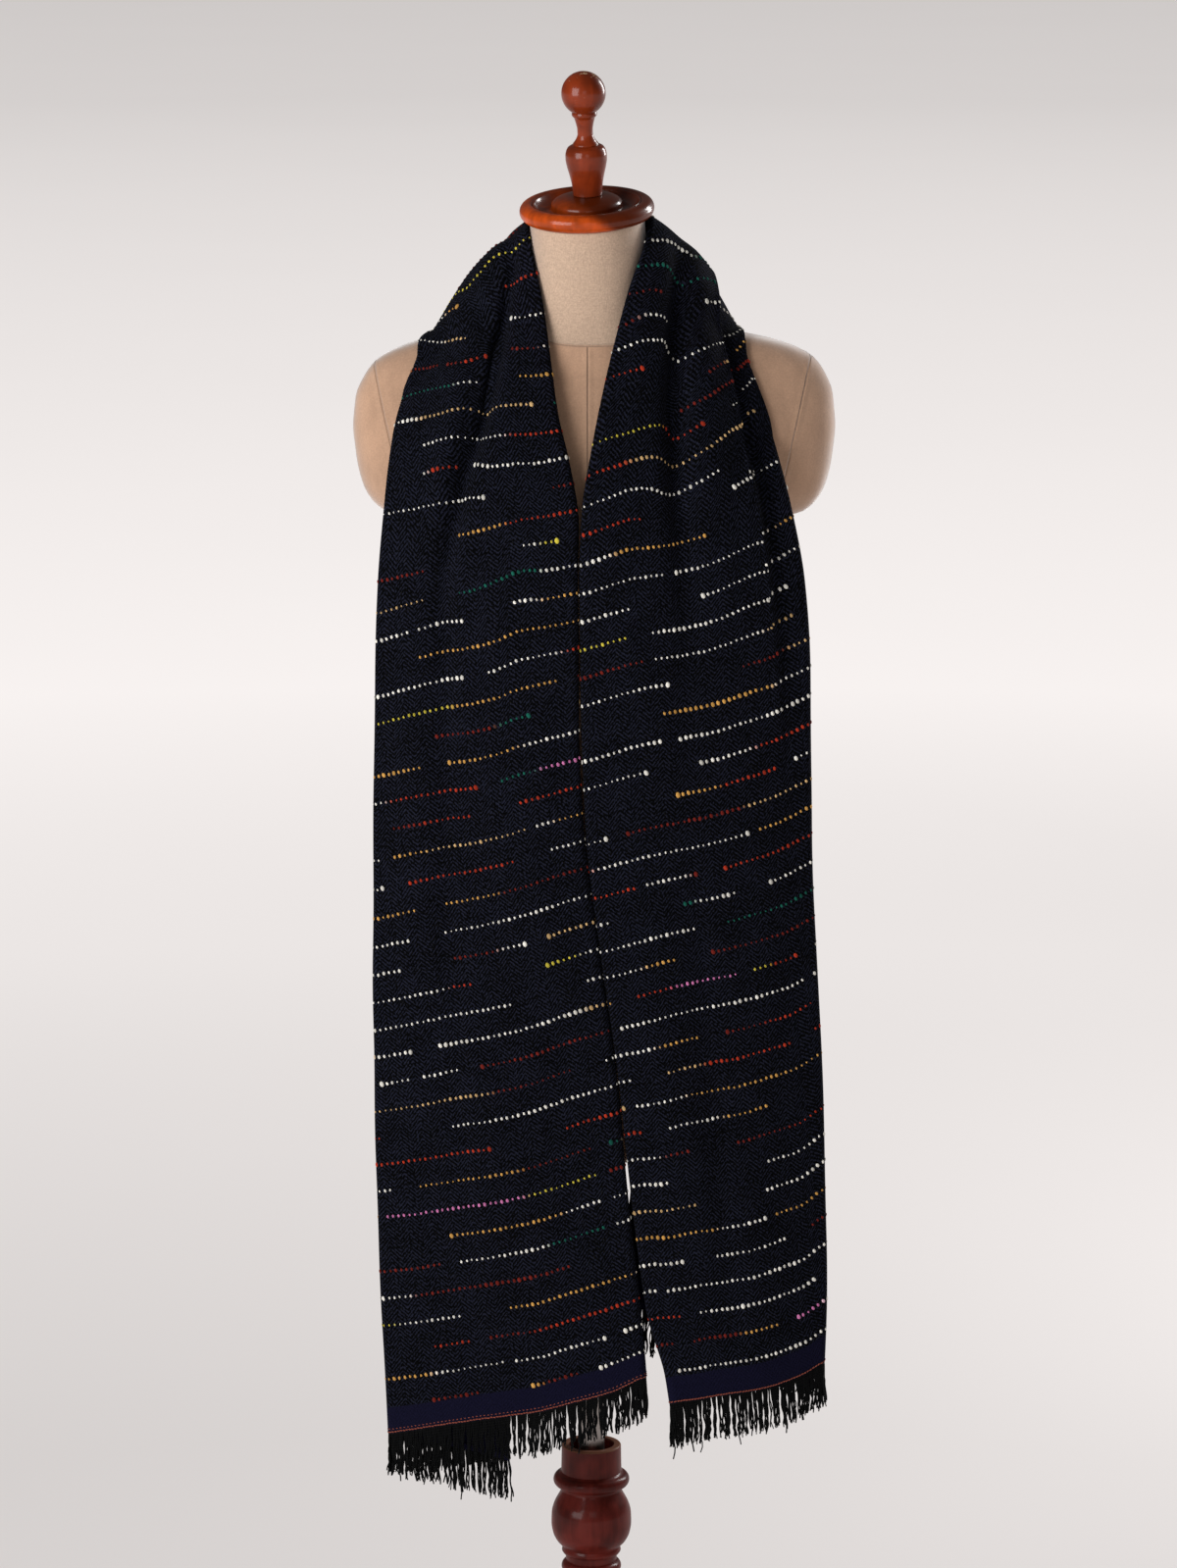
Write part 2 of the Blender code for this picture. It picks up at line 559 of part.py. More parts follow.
def cloth_stretches(form_tree):
    """The grids and normals of the three stretches, parted by the gap at the two seams."""
    columns = cloth_columns()
    left_chest, right_chest = CLOTH_PLACES[[LEFT_CHEST_ROW, RIGHT_CHEST_ROW]]
    stops = (LEFT_HEM, left_chest, NECK_FROM, NECK_TO, right_chest, RIGHT_HEM)
    counts = (HANGING_ROWS, DRAPED_ROWS, NECK_ROWS, DRAPED_ROWS, HANGING_ROWS)
    rows = [np.linspace(*span)[:-1] for span in zip(stops, stops[1:], counts)]
    grid = []
    layers = []
    for row in np.concatenate([*rows, [RIGHT_HEM]]):
        points, layer = cloth_points(np.full(len(columns), row), aligned_columns(row, columns))
        grid.append(points)
        layers.append(layer)
    layers = np.array(layers)
    grid = lift_faces(clear_of_form(np.array(grid), layers, form_tree), layers, form_tree)
    normals = grid_normals(grid)
    onward = np.gradient(grid, axis=0)
    half = onward / np.linalg.norm(onward, axis=-1)[..., None] * GAP / 2
    first = HANGING_ROWS + DRAPED_ROWS - 2
    second = first + NECK_ROWS - 1
    stretches = {}
    for name, start, end in (("left", 0, first), ("neck", first, second), ("right", second, len(grid) - 1)):
        part = grid[start : end + 1].copy()
        if start:
            part[0] += half[start]
        if end < len(grid) - 1:
            part[-1] -= half[end]
        stretches[name] = (part, normals[start : end + 1])
    return stretches


def make_fringe(name, edge, outward_step, finish, form_tree):
    """A narrow strip just past the hem, and strands that hang from it. The strip's underside is a
    row of triangles, and every other one is drawn out as a strand."""
    marks = np.linspace(0, 4, 600)
    line, layers = cloth_points(np.full(len(marks), edge), marks)
    runs = np.concatenate([[0.0], np.cumsum(np.linalg.norm(np.diff(line, axis=0), axis=1))])
    places = np.interp(np.linspace(0, runs[-1], STRANDS + 1), runs, marks)
    top_row = edge + outward_step * GAP
    low_row = edge + outward_step * (GAP + STRIP_HEIGHT)
    pair = []
    for row in (top_row, low_row):
        points, layer = cloth_points(np.full(len(places), row), places)
        pair.append(clear_of_form(points, layer, form_tree))
    grid = np.array(pair)
    normals = grid_normals(grid)
    shell = np.stack([grid + normals * WALL / 2, grid - normals * WALL / 2])
    points = list(shell.reshape(-1, 3))
    count = STRANDS + 1

    def corner(side, level, index):
        return (side * 2 + level) * count + index

    faces = []
    for index in range(STRANDS):
        after = index + 1
        front = [corner(0, 0, index), corner(0, 1, index), corner(0, 1, after), corner(0, 0, after)]
        rear = [corner(1, 0, index), corner(1, 0, after), corner(1, 1, after), corner(1, 1, index)]
        top = [corner(0, 0, index), corner(0, 0, after), corner(1, 0, after), corner(1, 0, index)]
        between = [corner(0, 1, after), corner(1, 1, index), corner(1, 1, after)]
        faces += [front, rear, top, between]
        root = [corner(0, 1, index), corner(1, 1, index), corner(0, 1, after)]
        faces += strand_faces(points, root)
    faces.append([corner(0, 0, 0), corner(1, 0, 0), corner(1, 1, 0), corner(0, 1, 0)])
    faces.append([corner(0, 0, STRANDS), corner(0, 1, STRANDS), corner(1, 1, STRANDS), corner(1, 0, STRANDS)])
    made = add_object(name, points, faces, finish)
    outward(made)
    return made


def strand_faces(points, root):
    """Draws one triangle of the strip's underside down into a thin strand of two lengths."""
    length = STRAND_LENGTH * random.uniform(0.88, 1.06)
    sway = np.array([random.uniform(-1, 1) * STRAND_SWAY, random.uniform(-1, 1) * STRAND_SWAY, 0.0])
    centre = sum(points[index] for index in root) / 3
    faces = []
    upper = root
    for share, width in ((0.35, 0.48), (1.0, 0.30)):
        level = []
        for index in root:
            spread = (points[index] - centre) * width
            level.append(len(points))
            points.append(centre + spread + sway * share - np.array([0.0, 0.0, length * share]))
        for here in range(3):
            after = (here + 1) % 3
            faces.append([upper[here], upper[after], level[after], level[here]])
        upper = level
    faces.append(upper)
    return faces


# ---------------------------------------------------------------- turned pieces
def make_base(finish):
    edge = 0.009
    profile = [(0.0, BASE_HEIGHT), (0.060, BASE_HEIGHT), (0.075, BASE_HEIGHT - 0.005)]
    profile += [(BASE_RADIUS - 0.045, BASE_HEIGHT - 0.009)]
    profile += arc((BASE_RADIUS - edge, BASE_HEIGHT - 0.0135 - edge), edge, 80, 0, 4)
    profile += [(BASE_RADIUS - 0.002, 0.0), (0.0, 0.0)]
    return turned("base", profile, SIDES_LARGE, finish)


def make_post(finish):
    """Cup, collar, bulb and a plain tapering column, bored from the top for the pole."""
    top = POST_TOP_Z
    foot = BASE_HEIGHT + GAP
    bore = [(0.0, BORE_BOTTOM_Z), (SOCKET_RADIUS, BORE_BOTTOM_Z), (SOCKET_RADIUS, top - CUP_BORE_DEPTH)]
    cup = [(CUP_BORE_RADIUS, top - CUP_BORE_DEPTH), (CUP_BORE_RADIUS, top)]
    cup += arc((0.0232, top - 0.0022), 0.0022, 90, 0, 2) + [(0.0252, top - 0.0225)]
    collar = arc((0.0262, top - 0.0310), 0.0058, 75, -75, 5)
    bulb_top = [(0.0228, top - 0.0375), (0.0226, top - 0.0440)]
    bulb = arc((0.0100, top - 0.0700), 0.0228, 50, -48, 6)
    flange = [(0.0232, top - 0.0885), (0.0248, top - 0.0935), (0.0216, top - 0.0960), (0.0216, top - 0.1010)]
    ring = arc((0.0196, top - 0.1075), 0.0056, 70, -70, 4)
    column = [(0.0200, top - 0.1150), (0.0250, top - 0.1900), (0.0262, top - 0.2500), (0.0215, top - 0.4000)]
    foot_ring = arc((0.0240, foot + 0.0130), 0.0090, 80, -70, 4)
    profile = bore + cup + collar + bulb_top + bulb + flange + ring + column + foot_ring
    profile += [(0.0300, foot), (0.0, foot)]
    return turned("post", profile, SIDES_ROUND, finish)


def make_pole(finish):
    low = POST_TOP_Z - POLE_IN_POST
    high = SOCKET_TOP_Z - GAP
    edge = 0.0008
    profile = [(0.0, high), (POLE_RADIUS - edge, high), (POLE_RADIUS, high - edge)]
    profile += [(POLE_RADIUS, low + edge), (POLE_RADIUS - edge, low), (0.0, low)]
    return turned("pole", profile, SIDES_ROUND, finish)


def make_neck_cap(finish):
    rim = 0.0072
    profile = [(0.0, 0.0195), (0.0150, 0.0192), (0.0250, 0.0172), (0.0283, 0.0142)]
    profile += [(0.0288, 0.0110), (0.0345, 0.0102), (0.0420, 0.0112), (0.0448, 0.0140)]
    profile += arc((0.0541 - rim, rim), rim, 90, -84, 7) + [(0.0, 0.0)]
    return turned("neck_cap", profile, SIDES_LARGE, finish)


def make_finial(finish):
    """Foot, vase, groove, slim neck and ball, from the top down to the foot."""
    ball = 0.0177
    profile = [(0.0, 0.1030)]
    profile += arc((0.0, 0.0855), ball, 72, -48, 7)
    profile += [(0.0098, 0.0692), (0.0100, 0.0662), (0.0078, 0.0640)]
    profile += [(0.0063, 0.0590), (0.0061, 0.0530), (0.0072, 0.0470), (0.0098, 0.0432), (0.0100, 0.0415)]
    profile += [(0.0082, 0.0402), (0.0100, 0.0388)]
    profile += arc((0.0060, 0.0305), 0.0103, 52, -38, 4)
    profile += [(0.0118, 0.0150), (0.0108, 0.0090), (0.0113, 0.0030), (0.0118, 0.0), (0.0, 0.0)]
    return turned("finial", profile, SIDES_SMALL, finish)


def neck_axis():
    """An empty on the middle of the neck's sloping top, with its Z along the cap's axis."""
    empty = bpy.data.objects.new("neck_axis", None)
    bpy.context.collection.objects.link(empty)
    empty.location = (NECK_CENTRE[0], NECK_CENTRE[1], NECK_TOP_Z + GAP)
    slope = Vector((-math.tan(NECK_ROLL), -math.tan(NECK_NOD), 1.0)).normalized()
    empty.rotation_mode = "QUATERNION"
    empty.rotation_quaternion = Vector((0, 0, 1)).rotation_difference(slope)
    return empty


# ---------------------------------------------------------------- the whole object
def main():
    clear_scene()
    cloth = material("dark_wool", (0.010, 0.011, 0.024), 0.95)
    fringe = material("black_yarn", (0.006, 0.006, 0.007), 0.90)
    padding = material("beige_jersey", (0.55, 0.38, 0.25), 0.90)
    light_wood = material("red_wood", (0.33, 0.055, 0.012), 0.25)
    dark_wood = material("dark_red_wood", (0.075, 0.008, 0.006), 0.25)
    steel = material("steel", (0.55, 0.55, 0.56), 0.35, 1.0)

    make_base(dark_wood)
    make_post(dark_wood)
    make_pole(steel)
    torso = make_torso(padding)
    outward(torso)
    axis = neck_axis()
    cap = make_neck_cap(light_wood)
    cap.parent = axis
    finial = make_finial(light_wood)
    finial.parent = axis
    finial.location = (0.0, 0.0, 0.0195 + GAP)

    shape = bmesh.new()
    shape.from_mesh(torso.data)
    form_tree = BVHTree.FromBMesh(shape)
    shape.free()
    for side, (points, normals) in cloth_stretches(form_tree).items():
        wall_solid("scarf_" + side, points, normals, cloth)
    make_fringe("fringe_left", LEFT_HEM, -1, fringe, form_tree)
    make_fringe("fringe_right", RIGHT_HEM, 1, fringe, form_tree)


main()
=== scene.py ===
"""A long fringed wool scarf, folded lengthwise and hung over a limbless dress form on a turned stand.

Metres, +Z up. The front faces -Y and +X is to the right of a viewer in front. "Left" and "right"
are as that viewer sees them.
"""

import math
import random

import bmesh
import bpy
import numpy as np
from bpy.props import FloatProperty, FloatVectorProperty, IntProperty, PointerProperty
from mathutils import Matrix, Vector
from mathutils.bvhtree import BVHTree


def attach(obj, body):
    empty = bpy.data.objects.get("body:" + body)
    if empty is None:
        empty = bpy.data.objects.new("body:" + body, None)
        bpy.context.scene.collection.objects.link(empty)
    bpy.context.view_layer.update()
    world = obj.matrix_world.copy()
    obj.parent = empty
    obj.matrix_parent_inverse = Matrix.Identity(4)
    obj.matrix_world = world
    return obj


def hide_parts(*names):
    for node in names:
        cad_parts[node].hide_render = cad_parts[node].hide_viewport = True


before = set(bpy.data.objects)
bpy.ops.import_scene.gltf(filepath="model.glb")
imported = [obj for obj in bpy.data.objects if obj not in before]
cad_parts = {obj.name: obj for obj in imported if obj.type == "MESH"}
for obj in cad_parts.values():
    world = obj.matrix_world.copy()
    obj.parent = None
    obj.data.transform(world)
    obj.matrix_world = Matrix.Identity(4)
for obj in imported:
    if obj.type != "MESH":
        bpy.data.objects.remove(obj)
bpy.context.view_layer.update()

bl_info = {
    "name": "Fringed Scarf on a Dress Form",
    "version": (1, 0, 0),
    "blender": (4, 5, 0),
    "location": "3D View > Sidebar > Scarf",
    "description": "Builds a long fringed wool scarf hung over a limbless dress form on a turned stand",
    "category": "Add Mesh",
}

# ---------------------------------------------------------------- sizes, in metres
# The cloth: its width and wall, the turned-in edge, how near it lies to the form and one layer to
# the next, how its woven rows lean on each side, and the height of each hem before it slopes.
CLOTH_WIDTH = 0.350
WALL = 0.0018
TUCK = 0.009
IN_ROLL_OF_FULL_TUCK = 0.005
CLEARANCE = 0.0014
LAYER_STEP = 0.0021
SHEAR_LEFT = -0.216
SHEAR_RIGHT = -0.290
SHEAR_CENTRE = 0.115
LEFT_HEM_Z = 0.5745
RIGHT_HEM_Z = 0.5960

# The form's neck nods forward and leans a little to one side.
NECK_TOP_Z = 1.530
NECK_CENTRE = (-0.0034, -0.012)
NECK_LEAN_FROM_Z = 1.44
NECK_NOD = math.radians(9.8)
NECK_ROLL = math.radians(2.4)

# The stand, the pole and what they sit in. GAP is left between two pieces that touch.
FORM_BOTTOM_Z = 0.770
SOCKET_TOP_Z = 0.890
GAP = 0.0003
POLE_RADIUS = 0.0110
SOCKET_RADIUS = 0.01118
POLE_IN_POST = 0.200
POST_TOP_Z = 0.500
BORE_BOTTOM_Z = 0.180
CUP_BORE_RADIUS = 0.0190
CUP_BORE_DEPTH = 0.022
BASE_RADIUS = 0.205
BASE_HEIGHT = 0.034
CAP_HEIGHT = 0.0195
# Radius inside which the cap's top carries painted shade.
DISH_SHADE_RADIUS = 0.0448
BALL_CENTRE_HEIGHT = 0.0820
FINIAL_ASIDE = 0.0012

# Dress form, at each height: half width, reach to the front and to the back, and the half width
# and half depth of the shoulder caps (0.01 where there are none).
FORM_COLUMNS = ("z", "side", "front", "back", "cap", "cap_depth")
FORM_ROWS = (
    (0.770, 0.160, 0.098, 0.100, 0.010, 0.010),
    (0.800, 0.163, 0.102, 0.105, 0.010, 0.010),
    (0.850, 0.161, 0.102, 0.106, 0.010, 0.010),
    (0.910, 0.151, 0.098, 0.098, 0.010, 0.010),
    (0.960, 0.136, 0.090, 0.084, 0.010, 0.010),
    (1.010, 0.121, 0.081, 0.071, 0.010, 0.010),
    (1.060, 0.113, 0.077, 0.065, 0.010, 0.010),
    (1.110, 0.119, 0.085, 0.072, 0.010, 0.010),
    (1.160, 0.131, 0.102, 0.085, 0.010, 0.010),
    (1.200, 0.141, 0.117, 0.094, 0.010, 0.010),
    (1.240, 0.147, 0.124, 0.100, 0.010, 0.010),
    (1.270, 0.149, 0.121, 0.102, 0.010, 0.010),
    (1.290, 0.151, 0.117, 0.102, 0.1320, 0.020),
    (1.294, 0.152, 0.116, 0.102, 0.1527, 0.036),
    (1.302, 0.152, 0.113, 0.102, 0.1670, 0.044),
    (1.313, 0.153, 0.110, 0.101, 0.1755, 0.050),
    (1.328, 0.153, 0.105, 0.100, 0.1812, 0.055),
    (1.345, 0.151, 0.100, 0.098, 0.1852, 0.058),
    (1.366, 0.146, 0.092, 0.092, 0.1886, 0.057),
    (1.386, 0.136, 0.084, 0.085, 0.1885, 0.051),
    (1.402, 0.124, 0.077, 0.079, 0.1830, 0.045),
    (1.414, 0.110, 0.072, 0.073, 0.1751, 0.040),
    (1.423, 0.098, 0.069, 0.069, 0.1612, 0.036),
    (1.431, 0.086, 0.066, 0.065, 0.1400, 0.033),
    (1.4385, 0.071, 0.064, 0.061, 0.1120, 0.028),
    (1.448, 0.060, 0.062, 0.056, 0.0830, 0.024),
    (1.460, 0.053, 0.0605, 0.050, 0.0620, 0.022),
    (1.480, 0.049, 0.0595, 0.043, 0.0400, 0.020),
    (1.505, 0.047, 0.0590, 0.037, 0.0100, 0.010),
    (1.530, 0.046, 0.0590, 0.035, 0.0100, 0.010),
)
FORM_SQUARENESS = 2.25
CAP_SQUARENESS = 2.9
FORM_BLEND = 6.0
CAPS_ASIDE = 0.0022
RIGHT_CAP_RISE = 0.050

# Seams of the form, in the front view: the neck seam and its slope towards the back, the middle
# seam, and the two cap seams, which lean outwards and end above the caps' undersides.
NECK_SEAM_Z = 1.4355
NECK_SEAM_AT_Y = -0.0615
NECK_SEAM_SLOPE = 0.45
MIDDLE_SEAM_X = -0.0027
CAP_SEAM_X = 0.1620
CAP_SEAM_AT_Z = 1.358
CAP_SEAM_SLOPE = 0.235
CAP_SEAM_ENDS = (1.292, 1.300)

# Cloth, one row for each section, from the left hem over the shoulders to the right hem: the edge
# beside the middle (in), the outer fold (out), how far the front layer stands off the chord between
# them, the radii of the two folded edges, and the place and depth of the long valley and of the
# overlapping pleat. A place is a share of the width from the inner edge.
CLOTH_COLUMNS = (
    "in_x", "in_y", "in_z", "out_x", "out_y", "out_z",
    "bulge", "in_roll", "out_roll", "valley", "valley_depth", "pleat", "pleat_depth",
)
CLOTH_ROWS = (
    (0.0480, -0.1370, 0.480, -0.1630, -0.1130, 0.480, 0.008, 0.0050, 0.0056, 0.64, 0.000, 0.87, 0.000),
    (0.0435, -0.1375, 0.600, -0.1695, -0.1125, 0.600, 0.009, 0.0050, 0.0056, 0.64, 0.001, 0.87, 0.000),
    (0.0302, -0.1380, 0.740, -0.1735, -0.1110, 0.740, 0.010, 0.0050, 0.0056, 0.64, 0.002, 0.87, 0.000),
    (0.0190, -0.1385, 0.850, -0.1752, -0.1090, 0.850, 0.011, 0.0050, 0.0056, 0.64, 0.002, 0.87, 0.000),
    (0.0055, -0.1390, 0.950, -0.1755, -0.1070, 0.950, 0.011, 0.0050, 0.0056, 0.64, 0.002, 0.87, 0.000),
    (-0.0075, -0.1390, 1.050, -0.1750, -0.1045, 1.050, 0.011, 0.0050, 0.0056, 0.64, 0.003, 0.87, 0.000),
    (-0.0116, -0.1390, 1.170, -0.1730, -0.1010, 1.170, 0.011, 0.0050, 0.0056, 0.64, 0.005, 0.87, 0.000),
    (-0.0122, -0.1390, 1.250, -0.1695, -0.0960, 1.250, 0.011, 0.0048, 0.0054, 0.66, 0.008, 0.87, 0.000),
    (-0.0118, -0.1340, 1.300, -0.1655, -0.0890, 1.298, 0.011, 0.0045, 0.0052, 0.62, 0.012, 0.87, 0.000),
    (-0.0190, -0.1210, 1.345, -0.1615, -0.0790, 1.338, 0.011, 0.0040, 0.0050, 0.555, 0.015, 0.87, 0.000),
    (-0.0285, -0.1040, 1.385, -0.1570, -0.0620, 1.370, 0.011, 0.0036, 0.0048, 0.455, 0.016, 0.86, 0.000),
    (-0.0340, -0.0800, 1.424, -0.1490, -0.0410, 1.395, 0.012, 0.0030, 0.0042, 0.39, 0.015, 0.85, 0.000),
    (-0.0400, -0.0530, 1.4636, -0.1350, -0.0180, 1.415, 0.011, 0.0024, 0.0036, 0.325, 0.012, 0.84, 0.000),
    (-0.0472, -0.0350, 1.497, -0.1310, 0.0060, 1.431, 0.0118, 0.0020, 0.0032, 0.20, 0.007, 0.82, 0.000),
    (-0.0525, -0.0130, 1.5225, -0.1225, 0.0340, 1.431, 0.0130, 0.0018, 0.0030, 0.12, 0.003, 0.80, 0.000),
    (-0.0525, 0.0130, 1.5250, -0.1110, 0.0640, 1.416, 0.0142, 0.0018, 0.0030, 0.24, 0.002, 0.76, 0.001),
    (-0.0390, 0.0330, 1.519, -0.0870, 0.0900, 1.394, 0.011, 0.0018, 0.0030, 0.28, 0.006, 0.72, 0.002),
    (-0.0030, 0.0430, 1.520, 0.0000, 0.1080, 1.374, 0.010, 0.0018, 0.0030, 0.34, 0.006, 0.68, 0.004),
    (0.0330, 0.0330, 1.522, 0.0780, 0.0920, 1.395, 0.011, 0.0018, 0.0030, 0.30, 0.006, 0.64, 0.004),
    (0.0480, 0.0120, 1.5290, 0.1005, 0.0660, 1.417, 0.0136, 0.0018, 0.0030, 0.26, 0.002, 0.60, 0.004),
    (0.0487, -0.0120, 1.530, 0.1125, 0.0350, 1.433, 0.0150, 0.0018, 0.0034, 0.24, 0.001, 0.60, 0.004),
    (0.0440, -0.0340, 1.5105, 0.1182, 0.0060, 1.436, 0.0142, 0.0020, 0.0036, 0.29, 0.006, 0.68, 0.006),
    (0.0325, -0.0560, 1.481, 0.1225, -0.0200, 1.417, 0.012, 0.0024, 0.0042, 0.37, 0.012, 0.78, 0.009),
    (0.0210, -0.0800, 1.442, 0.1325, -0.0430, 1.398, 0.012, 0.0030, 0.0044, 0.40, 0.016, 0.83, 0.011),
    (0.0115, -0.0980, 1.403, 0.1425, -0.0580, 1.374, 0.011, 0.0036, 0.0048, 0.41, 0.016, 0.85, 0.012),
    (0.0025, -0.1180, 1.360, 0.1510, -0.0740, 1.346, 0.011, 0.0040, 0.0050, 0.425, 0.014, 0.86, 0.012),
    (-0.0055, -0.1330, 1.310, 0.1605, -0.0880, 1.308, 0.011, 0.0045, 0.0052, 0.44, 0.010, 0.875, 0.011),
    (-0.0080, -0.1390, 1.250, 0.1700, -0.0930, 1.250, 0.011, 0.0048, 0.0054, 0.45, 0.005, 0.87, 0.008),
    (-0.0072, -0.1390, 1.170, 0.1750, -0.0980, 1.170, 0.011, 0.0050, 0.0056, 0.45, 0.002, 0.87, 0.003),
    (-0.0033, -0.1390, 1.050, 0.1768, -0.1010, 1.050, 0.011, 0.0050, 0.0056, 0.45, 0.001, 0.87, 0.000),
    (0.0100, -0.1390, 0.950, 0.1815, -0.1025, 0.950, 0.011, 0.0050, 0.0056, 0.45, 0.002, 0.87, 0.000),
    (0.0235, -0.1385, 0.850, 0.1862, -0.1035, 0.850, 0.011, 0.0050, 0.0056, 0.45, 0.002, 0.87, 0.000),
    (0.0348, -0.1380, 0.740, 0.1908, -0.1040, 0.740, 0.010, 0.0050, 0.0056, 0.45, 0.002, 0.87, 0.000),
    (0.0460, -0.1375, 0.655, 0.1930, -0.1040, 0.655, 0.009, 0.0050, 0.0056, 0.45, 0.001, 0.87, 0.000),
    (0.0620, -0.1370, 0.600, 0.1910, -0.1040, 0.600, 0.008, 0.0050, 0.0056, 0.45, 0.000, 0.87, 0.000),
    (0.0780, -0.1370, 0.480, 0.1870, -0.1040, 0.480, 0.007, 0.0050, 0.0056, 0.45, 0.000, 0.87, 0.000),
)
NECK_FROM_ROW = 14
NECK_TO_ROW = 20

# How the woven rows sag and rise across the front layer, in metres along the scarf: the place of
# a row, then its shift at each share of the width from the inner edge.
LEFT_SAG_COLUMNS = ("row", 0.0, 0.12, 0.25, 0.40, 0.53, 0.66, 0.82, 1.0)
LEFT_SAG = (
    (0.090, 0.0060, 0.0002, -0.0015, -0.0036, -0.0022, -0.0007, 0.0000, -0.0005),
    (0.160, 0.0048, 0.0022, 0.0003, -0.0030, -0.0014, -0.0012, -0.0010, 0.0000),
    (0.260, 0.0040, 0.0025, -0.0004, -0.0023, -0.0020, -0.0016, -0.0012, 0.0006),
    (0.380, 0.0048, 0.0035, 0.0008, -0.0015, -0.0016, -0.0013, -0.0019, -0.0026),
    (0.500, 0.0046, 0.0033, 0.0012, -0.0005, -0.0009, -0.0010, -0.0020, -0.0040),
    (0.610, 0.0030, 0.0026, 0.0015, -0.0015, -0.0021, -0.0004, -0.0002, -0.0012),
    (0.705, 0.0024, 0.0028, 0.0032, -0.0015, -0.0017, -0.0011, -0.0020, -0.0050),
    (0.766, 0.0015, 0.0022, 0.0055, 0.0012, -0.0016, 0.0002, -0.0018, -0.0050),
    (0.800, -0.0005, 0.0000, 0.0010, -0.0005, -0.0026, -0.0015, -0.0010, 0.0000),
    (0.860, -0.0082, -0.0075, -0.0040, -0.0010, 0.0068, 0.0088, 0.0092, 0.0110),
    (0.900, -0.0120, -0.0090, -0.0050, -0.0010, 0.0050, 0.0062, 0.0100, 0.0150),
    (0.936, -0.0140, -0.0112, -0.0050, 0.0030, 0.0018, 0.0052, 0.0135, 0.0210),
    (0.958, -0.0162, -0.0132, -0.0062, -0.0008, -0.0052, 0.0010, 0.0132, 0.0270),
    (0.984, -0.0085, -0.0050, 0.0022, 0.0008, 0.0030, 0.0160, 0.0220, 0.0260),
    (1.060, 0.0, 0.0, 0.0, 0.0, 0.0, 0.0, 0.0, 0.0),
)
RIGHT_SAG_COLUMNS = ("row", 0.0, 0.15, 0.28, 0.36, 0.44, 0.58, 0.75, 0.88, 1.0, "past_pleat")
RIGHT_SAG = (
    (1.250, 0.0, 0.0, 0.0, 0.0, 0.0, 0.0, 0.0, 0.0, 0.0, 0.0),
    (1.320, 0.0010, -0.0026, 0.0030, 0.0088, 0.0035, -0.0030, -0.0040, -0.0040, -0.0040, -0.0050),
    (1.347, 0.0012, -0.0044, -0.0028, 0.0040, 0.0065, -0.0018, -0.0078, -0.0080, -0.0080, -0.0070),
    (1.393, -0.0070, -0.0075, -0.0080, -0.0052, 0.0080, 0.0042, -0.0066, -0.0090, -0.0180, -0.0120),
    (1.453, -0.0050, -0.0042, -0.0028, 0.0012, 0.0095, 0.0050, -0.0062, -0.0100, -0.0230, -0.0090),
    (1.475, -0.0052, -0.0053, -0.0010, 0.0080, 0.0112, 0.0080, -0.0020, -0.0060, -0.0120, -0.0060),
    (1.515, -0.0054, -0.0060, 0.0000, 0.0032, 0.0062, 0.0062, 0.0008, -0.0008, -0.0052, -0.0020),
    (1.545, -0.0040, -0.0040, -0.0002, 0.0034, 0.0066, 0.0084, 0.0066, 0.0080, 0.0030, -0.0045),
    (1.592, -0.0040, -0.0030, 0.0000, 0.0033, 0.0068, 0.0092, 0.0074, 0.0098, 0.0070, -0.0035),
    (1.635, -0.0034, -0.0038, -0.0022, 0.0014, 0.0046, 0.0080, 0.0086, 0.0100, 0.0084, -0.0008),
    (1.800, -0.0042, -0.0028, -0.0013, 0.0006, 0.0026, 0.0058, 0.0080, 0.0090, 0.0072, 0.0),
    (1.900, -0.0078, -0.0062, -0.0048, -0.0030, -0.0008, 0.0030, 0.0056, 0.0080, 0.0056, 0.0),
    (2.090, -0.0122, -0.0064, -0.0044, -0.0012, 0.0016, 0.0050, 0.0070, 0.0090, 0.0036, 0.0),
    (2.230, -0.0110, -0.0070, -0.0042, -0.0020, 0.0004, 0.0042, 0.0072, 0.0080, 0.0060, 0.0),
)
# How wide the valley and the pleat are, how far the pleat hangs over, and how the rear layer of the
# cloth lies: how far it drops behind low down, and how much of the width it spans above.
VALLEY_WIDTH = 0.0105
PLEAT_WIDTH = 0.0045
PLEAT_OVERHANG = 0.006
REAR_DROP = 0.014
REAR_DROP_BELOW_Z = 0.95
REAR_SHARE = 0.70
REAR_FREE_BELOW_Z = 1.00

# ---------------------------------------------------------------- how fine the cloth's grid is
# The step along the scarf, the columns of the inner roll, front layer, outer roll and rear layer,
# and how far an edge is turned back over the cloth's thickness.
ROW_STEP = 0.0033
PART_COLUMNS = (14, 74, 9, 28)
EDGE_RETURN = 0.005
EDGE_ROUNDING = 0.0004
